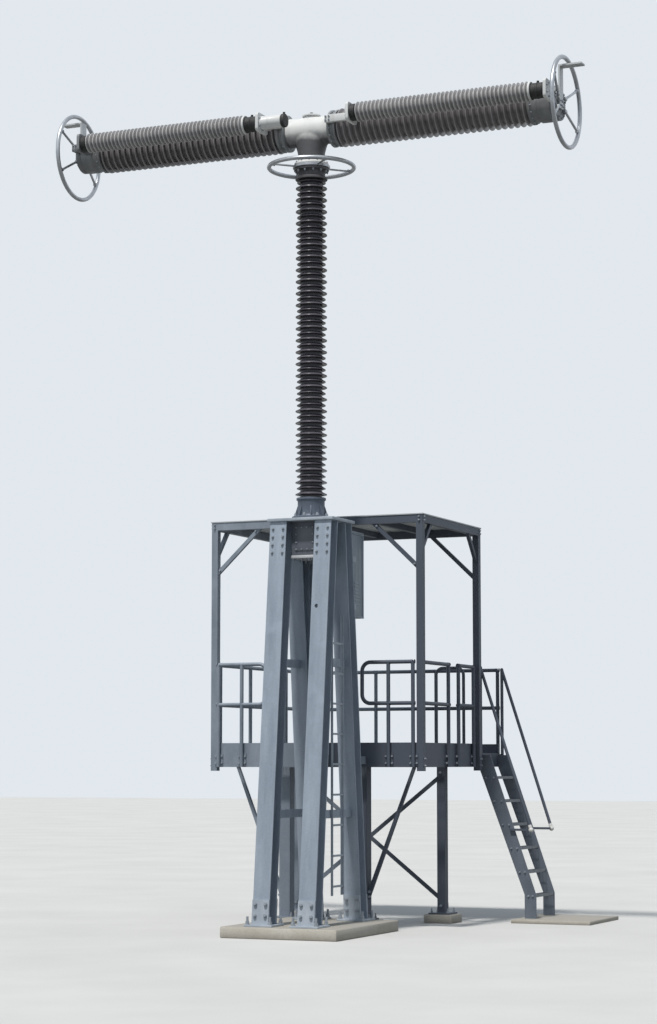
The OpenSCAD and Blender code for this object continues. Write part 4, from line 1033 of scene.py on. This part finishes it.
# --- Line terminals and end rings --------------------------------------------
# A bent aluminium bar on each end disc, its pad drilled for four bolts. Round it stands a
# welded tube ring on four sloping rods that are screwed into bosses on the disc.
RING_X, RING_R = 2.737, 0.443
terminal_metal = cast("terminal_metal", (0.60, 0.62, 0.63), (0.47, 0.49, 0.50), 0.5)
dress("line_terminals", terminal_metal)
shape = bmesh.new()
for side in (-1, 1):
    middle = Vector((side * RING_X, 0, HEAD_Z))
    add_ring(shape, middle, (1, 0, 0), RING_R, RING_TUBE)
    for a in (30, 150, 210, 330):
        way = Vector((0, math.cos(math.radians(a)), math.sin(math.radians(a))))
        foot = Vector((side * FIT_OUT, 0, HEAD_Z)) + way * 0.130
        add_turned(shape, [(0.0, 0.0), (0.024, 0.0), (0.024, 0.026), (0.018, 0.034), (0.0, 0.034)],
                   foot, (side, 0, 0), 24)
        start = foot + Vector((side * 0.017, 0, 0))
        end = middle + way * (RING_R - 0.010)
        add_rod(shape, start, end, 0.013, 18)
        back = (start - end).normalized()
        add_turned(shape, [(0.0, 0.0), (0.021, 0.0), (0.021, 0.012), (0.015, 0.018), (0.0, 0.018)],
                   end + back * (RING_TUBE - 0.006), back, 20)
rings = finished("end_grading_rings", shape, ring_metal)
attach(rings, "root")
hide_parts("end_rings")
bolts("terminal_foot_bolts",
      [((side * 2.692, y, z), (side, 0, 0)) for side in (-1, 1)
       for y in (-0.030, 0.030) for z in (8.115, 8.165)], 0.019, 0.012, 0.006)

# --- Access platform ---------------------------------------------------------
# A welded frame of channels and joists on four square legs, braced with crossed flats at
# the rear and a strut outside each front leg. The zinc is painted darker towards +X as shade.
LEG_PLATE_TOP, LEG_BOLT_OUT, BRACE_MID = 0.106, 0.092, -0.286

# Painted shade: this zinc darkens towards +X, for shade on the platform's right side.
shade_painted_zinc = zinc("platform_zinc", (0.32, 0.37, 0.435), (0.21, 0.25, 0.30), 0.3,
                 (5.0, 5.0, 1.4), (0.078, 0.092, 0.122))
for node in ("platform_legs", "platform_braces", "deck_frame", "toe_boards",
             "front_guardrails", "right_guardrail", "rear_guardrail", "left_guardrail",
             "canopy_posts", "canopy_braces", "canopy_frame", "ladder_handrails"):
    dress(node, shade_painted_zinc)
leg_nuts = [((x + u, y + v, LEG_PLATE_TOP), (0, 0, 1)) for x, y in FOOTING_PLACES
            for u in (-LEG_BOLT_OUT, LEG_BOLT_OUT) for v in (-LEG_BOLT_OUT, LEG_BOLT_OUT)]
bolts("leg_anchor_nuts", leg_nuts, 0.024, 0.019, 0.025)
brace_bolts = [((x, y, z), (0, way, 0)) for y, way in ((2.147, -1), (2.253, 1))
               for x in (-1.132, 0.560) for z in (0.178, 1.588)]
brace_bolts += [((BRACE_MID + side * 0.508, 0.98, z), (0, -1, 0))
                for side in (-1, 1) for z in (0.325, 0.375)]
bolts("brace_bolts", brace_bolts, 0.024)

# --- Deck grating ------------------------------------------------------------
# Pressed grating in panels: upright bearing bars with thinner cross bars let into them,
# and a flat band round each panel. The panels are clipped down between the channels.
DECK_LOW, DECK_HIGH = (-1.356, 0.800), (0.784, 3.190)
DECK_Z, GRATING_T = 1.800, 0.030


def grating_tree(finish):
    """A panel of bearing bars, cross bars and edge bands on every point."""
    names = ("Width", "Length", "Depth", "Bar pitch", "Cross pitch", "Bar thickness")
    tree, given = start_tree("pressed_grating", {
        "Middles": "Geometry", **dict.fromkeys(names, "Float")})
    width, length, depth, bar_pitch, cross_pitch, thick = (given[name] for name in names)
    gathered = tree.nodes.new("GeometryNodeJoinGeometry")

    def vector(**parts):
        return add_node(tree, "ShaderNodeCombineXYZ", parts)["Vector"]

    def bars(size, span, pitch, along):
        """A row of boxes across a span, the first and last on its edges."""
        bar = add_node(tree, "GeometryNodeMeshCube", {"Size": size})["Mesh"]
        room = combined(span, thick, "SUBTRACT")
        gaps = combined(combined(combined(room, pitch, "DIVIDE"), 0.0, "ROUND"), 1.0, "MAXIMUM")
        line = add_node(tree, "GeometryNodeMeshLine", {
            "Count": combined(gaps, 1.0), "Start Location": vector(**{along: product(room, -0.5)}),
            "Offset": vector(**{along: combined(room, gaps, "DIVIDE")})})["Mesh"]
        row = add_node(tree, "GeometryNodeInstanceOnPoints", {"Points": line, "Instance": bar})
        wire(row["Instances"], gathered.inputs["Geometry"])

    bars(vector(X=thick, Y=length, Z=depth), width, bar_pitch, "X")
    bars(vector(X=width, Y=thick, Z=product(depth, 0.4)), length, cross_pitch, "Y")
    bars(vector(X=width, Y=thick, Z=depth), length, length, "Y")
    return end_tree(tree, finish, given["Middles"], gathered.outputs["Geometry"])


grating_zinc = zinc("grating_zinc", (0.30, 0.33, 0.36), (0.20, 0.22, 0.25), 0.4,
                    (9.0, 9.0, 9.0))
pressed_grating = grating_tree(grating_zinc)
columns, rows = 4, 2
width = (DECK_HIGH[0] - DECK_LOW[0]) / columns
length = (DECK_HIGH[1] - DECK_LOW[1]) / rows
carrier = bpy.data.meshes.new("panel_middles")
carrier.from_pydata([(DECK_LOW[0] + width * (i + 0.5), DECK_LOW[1] + length * (j + 0.5),
                      DECK_Z - GRATING_T / 2) for i in range(columns) for j in range(rows)], [], [])
grating = by_nodes("deck_grating_panels", carrier, pressed_grating, {
    "Width": width - 0.006, "Length": length - 0.006, "Depth": GRATING_T - 0.001,
    "Bar pitch": 0.0343, "Cross pitch": 0.1, "Bar thickness": 0.004})
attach(grating, "root")
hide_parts("deck_grating")

# --- Guardrail fixings -------------------------------------------------------
# The bent tube panels are bolted through a flat plate at the foot of every post, and beads
# of weld show where rail meets post.
RAIL_OFF, RAIL_R, RAIL_HIGH, RAIL_MID = 0.024, 0.019, 2.720, 2.300
PLATE_OUT, PLATE_BOLT_OUT, PLATE_BOLT_Z = 0.008, 0.034, (1.690, 1.760)
front_posts, side_posts = (0.544, 0.814, -1.386, -1.116), (0.870, 1.588, 1.888, 2.346)
rear_posts, left_posts = (-1.386, -0.653, 0.081, 0.814), (0.870, 1.608, 2.346, 2.536, 3.220)
posts = [((x, 0.740), (0, -1, 0)) for x in front_posts]
posts += [((0.844, y), (1, 0, 0)) for y in side_posts]
posts += [((x, 3.250), (0, 1, 0)) for x in rear_posts]
posts += [((-1.416, y), (-1, 0, 0)) for y in left_posts]
rail_bolts = []
shape = bmesh.new()
for (x, y), out in posts:
    along = Vector((-out[1], out[0], 0))
    face = Vector((x, y, 0)) + Vector(out) * PLATE_OUT
    rail_bolts += [(tuple(face + along * u + Vector((0, 0, z))), out)
                   for z in PLATE_BOLT_Z for u in (-PLATE_BOLT_OUT, PLATE_BOLT_OUT)]
    axis = Vector((x, y, 0)) + Vector(out) * RAIL_OFF
    for z in (RAIL_MID, RAIL_HIGH):
        for way in (-1, 1):
            add_turned(shape, [(0.0, -0.003), (0.0216, -0.003), (0.0222, 0.0), (0.0216, 0.003),
                               (0.0, 0.003)], axis + along * (RAIL_R * way) + Vector((0, 0, z)),
                       along, 20)
beads = finished("rail_weld_beads", shape, shade_painted_zinc)
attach(beads, "root")
bolts("rail_foot_bolts", rail_bolts, 0.017, 0.010, 0.004)

# --- Canopy ------------------------------------------------------------------
# A light roof over the operator: box-ribbed sheet screwed to angles on four posts, with a
# folded edge all round. The sheet's underside stays pale; the right posts carry painted shade.
ROOF_LOW, ROOF_HIGH = (-1.494, 0.732), (0.922, 2.484)
ROOF_Z, ROOF_DEPTH = 4.228, 0.012
RIB_PITCH, RIB_TOP, RIB_FOOT, SHEET_T = 0.1208, 0.030, 0.046, 0.0011

sheet_metal = zinc("roof_sheet_zinc", (0.56, 0.59, 0.61), (0.43, 0.46, 0.48), 0.3,
                   (1.2, 6.0, 6.0))
shape = bmesh.new()
section, x = [], ROOF_LOW[0] + 0.004
low, high = ROOF_Z + 0.0006, ROOF_Z + ROOF_DEPTH - SHEET_T - 0.0005
while x < ROOF_HIGH[0] - 0.004 - RIB_PITCH / 2:
    rise = (RIB_FOOT - RIB_TOP) / 2
    flat = (RIB_PITCH - RIB_FOOT) / 2
    section += [(x, low), (x + flat, low), (x + flat + rise, high),
                (x + flat + rise + RIB_TOP, high), (x + flat + RIB_FOOT, low)]
    x += RIB_PITCH
section.append((ROOF_HIGH[0] - 0.004, low))
outline = section + [(u, v + SHEET_T) for u, v in section[::-1]]
ends = [[shape.verts.new((u, y, v)) for u, v in outline]
        for y in (ROOF_LOW[1] + 0.004, ROOF_HIGH[1] - 0.004)]
join_loops(shape, *ends)
count = len(outline)
half = len(section)
for end in ends:
    for i in range(half - 1):
        shape.faces.new((end[i], end[i + 1], end[count - 2 - i], end[count - 1 - i]))
for a, b in (((ROOF_LOW[0], ROOF_LOW[1]), (ROOF_HIGH[0], ROOF_LOW[1] + 0.003)),
             ((ROOF_LOW[0], ROOF_HIGH[1] - 0.003), (ROOF_HIGH[0], ROOF_HIGH[1])),
             ((ROOF_LOW[0], ROOF_LOW[1] + 0.003), (ROOF_LOW[0] + 0.003, ROOF_HIGH[1] - 0.003)),
             ((ROOF_HIGH[0] - 0.003, ROOF_LOW[1] + 0.003), (ROOF_HIGH[0], ROOF_HIGH[1] - 0.003))):
    add_block(shape, (a[0], a[1], ROOF_Z), (b[0], b[1], ROOF_Z + ROOF_DEPTH), edge=0.0008, rounds=1)
roof = finished("ribbed_roof_sheet", shape, sheet_metal)
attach(roof, "root")
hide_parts("canopy_roof")
POSTS_X, POSTS_Y = ((-1.451, -1), (0.879, 1)), ((0.775, -1), (2.441, 1))
POST_HALF, KNEE_HALF, BEAM_BOLT_Z, FOOT_BOLT_Z = 0.035, 0.018, (4.170, 4.206), (1.665, 1.735)
knee_bolts = [((x - side * (POST_HALF + out), y + way * KNEE_HALF, z), (0, way, 0))
              for y, way in POSTS_Y for x, side in POSTS_X
              for out, z in ((0.022, 3.72), (0.440, 4.125))]
bolts("canopy_knee_bolts", knee_bolts, 0.019)
canopy_bolts = [((x, y + way * POST_HALF, z), (0, way, 0))
                for y, way in POSTS_Y for x, _ in POSTS_X for z in BEAM_BOLT_Z]
canopy_bolts += [((x + side * POST_HALF, y, z), (side, 0, 0))
                 for x, side in POSTS_X for y, _ in POSTS_Y for z in FOOT_BOLT_Z + BEAM_BOLT_Z]
bolts("canopy_post_bolts", canopy_bolts, 0.019)

# --- Ladder ------------------------------------------------------------------
# A steep stair of two flat stringers with six grating treads bolted between them. Tube
# handrails on both sides end in pale plastic balls.
STRINGER_IN, STRINGER_OUT = 2.580, 3.190
TREAD_COUNT, TREAD_T, SLAB_TOP, STRINGER_T = 6, 0.028, 0.040, 0.010
DECK_EDGE, DECK_FOOT, LADDER_RUN, STRINGER_W = 0.844, 1.650, 0.510, 0.130
KNEE_Z, LADDER_HEAD = 0.290, 1.780
BALL_X, BALLS_Y, BALL_Z, BALL_R = 1.444, (2.539, 3.231), 0.980, 0.0272
RAIL_HEAD_X, RAIL_HEAD_Z = 0.880, 2.703

# Painted shade: the stringers get a darker zinc, for shade on the platform's right side.
shaded_stringer_zinc = zinc("shaded_stringer_zinc", (0.18, 0.21, 0.255), (0.13, 0.15, 0.185), 0.3,
                     (5.0, 5.0, 2.0))
dress("ladder_stringers", shaded_stringer_zinc)
treads, tread_bolts = [], []
for i in range(1, TREAD_COUNT + 1):
    z = SLAB_TOP + i * (DECK_Z - SLAB_TOP) / (TREAD_COUNT + 1)
    back, front = (min(LADDER_RUN, LADDER_RUN * (head - z) / (head - KNEE_Z))
                   for head in (DECK_FOOT, LADDER_HEAD))
    x0, x1 = DECK_EDGE + max(0.0, back) + 0.016, DECK_EDGE + front + STRINGER_W - 0.010
    z -= TREAD_T / 2
    carrier = bpy.data.meshes.new("tread_middle")
    carrier.from_pydata([((x0 + x1) / 2, (STRINGER_IN + STRINGER_OUT) / 2, z)], [], [])
    treads.append(by_nodes("tread", carrier, pressed_grating, {
        "Width": x1 - x0, "Length": STRINGER_OUT - STRINGER_IN - 0.002, "Depth": TREAD_T,
        "Bar pitch": 0.031, "Cross pitch": 0.076, "Bar thickness": 0.004}))
    tread_bolts += [((x, y, z), (0, way, 0)) for x in (x0 + 0.028, x1 - 0.028)
                    for y, way in ((STRINGER_IN - STRINGER_T, -1), (STRINGER_OUT + STRINGER_T, 1))]
tread_panels = joined("ladder_tread_gratings", *treads)
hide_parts("ladder_treads")
bolts("tread_bolts", tread_bolts, 0.017, 0.010, 0.004)

pale_plastic, shader, place = start_finish("pale_plastic")
coat(shader, tones(between(clouds(place, 25.0), 0.3, 0.7), (0.60, 0.60, 0.58), (0.78, 0.78, 0.76)),
     between(clouds(place, 90.0), 0.3, 0.7, 0.3, 0.45))
shape = bmesh.new()
for y in BALLS_Y:
    ball = Vector((BALL_X, y, BALL_Z))
    bmesh.ops.create_uvsphere(shape, u_segments=32, v_segments=20, radius=BALL_R,
                              matrix=Matrix.Translation(ball))
    slope = (Vector((RAIL_HEAD_X, y, RAIL_HEAD_Z)) - ball).normalized()
    add_turned(shape, [(0.0, 0.0), (0.0195, 0.0), (0.0195, 0.030), (0.0178, 0.034), (0.0, 0.034)],
               ball + slope * 0.020, slope, 24)
balls = finished("handrail_end_balls", shape, pale_plastic, 50.0)
for piece in (tread_panels, balls):
    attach(piece, "root")

# --- Floor, light and camera -------------------------------------------------
# A plain pale floor that takes the object's shadow, a plain pale sky, one soft lamp from
# the upper left, and a camera at the photograph's eye point with a longer lens.
EYE, AIM, LENS = (9.79, -21.93, 1.70), (-0.05, 0.55, 4.27), 84.0

bpy.ops.mesh.primitive_plane_add(size=160.0, location=(0, 0, 0))
floor = bpy.context.object
floor.name = "floor"
pale_floor, shader, place = start_finish("pale_floor")
uneven = tones(between(clouds(place, 0.6, 3.0), 0.3, 0.7), (0.60, 0.60, 0.59), (0.66, 0.66, 0.65))
ray = add_node(pale_floor.node_tree, "ShaderNodeLightPath", {})
wire(tones(ray["Is Camera Ray"], (0.24, 0.24, 0.23), uneven), shader.inputs["Base Color"])
shader.inputs["Roughness"].default_value = 0.9
floor.data.materials.append(pale_floor)

sky = bpy.data.worlds.new("plain_sky")
bpy.context.scene.world = sky
sky.use_nodes = True
nodes = sky.node_tree.nodes
light = nodes["Background"]
light.inputs["Color"].default_value = (0.78, 0.89, 1.0, 1.0)
light.inputs["Strength"].default_value = 0.38
seen = add_node(sky.node_tree, "ShaderNodeBackground",
                {"Color": (0.80, 0.85, 0.90, 1.0), "Strength": 0.95})
ray = add_node(sky.node_tree, "ShaderNodeLightPath", {})
either = combined(combined(ray["Is Camera Ray"], ray["Is Glossy Ray"], "MAXIMUM"),
                  ray["Is Transmission Ray"], "MAXIMUM")
choose = add_node(sky.node_tree, "ShaderNodeMixShader",
                  {0: either, 1: light.outputs[0], 2: seen[0]})
wire(choose[0], nodes["World Output"].inputs["Surface"])

lamp = bpy.data.lights.new("soft_sun", "SUN")
lamp.energy = 3.0
lamp.angle = math.radians(5.0)
lamp.color = (1.0, 0.97, 0.93)
sun = in_scene("soft_sun", lamp)
sun.rotation_euler = Vector((0.05, 0.50, -0.90)).to_track_quat("-Z", "Y").to_euler()

camera = in_scene("camera", bpy.data.cameras.new("camera"))
camera.location = EYE
camera.rotation_euler = (Vector(AIM) - Vector(EYE)).to_track_quat("-Z", "Y").to_euler()
camera.data.sensor_fit = "VERTICAL"
camera.data.sensor_height = 36.0
camera.data.lens = LENS
camera.data.clip_end = 500.0
bpy.context.scene.camera = camera
bpy.context.scene.view_settings.view_transform = "Standard"
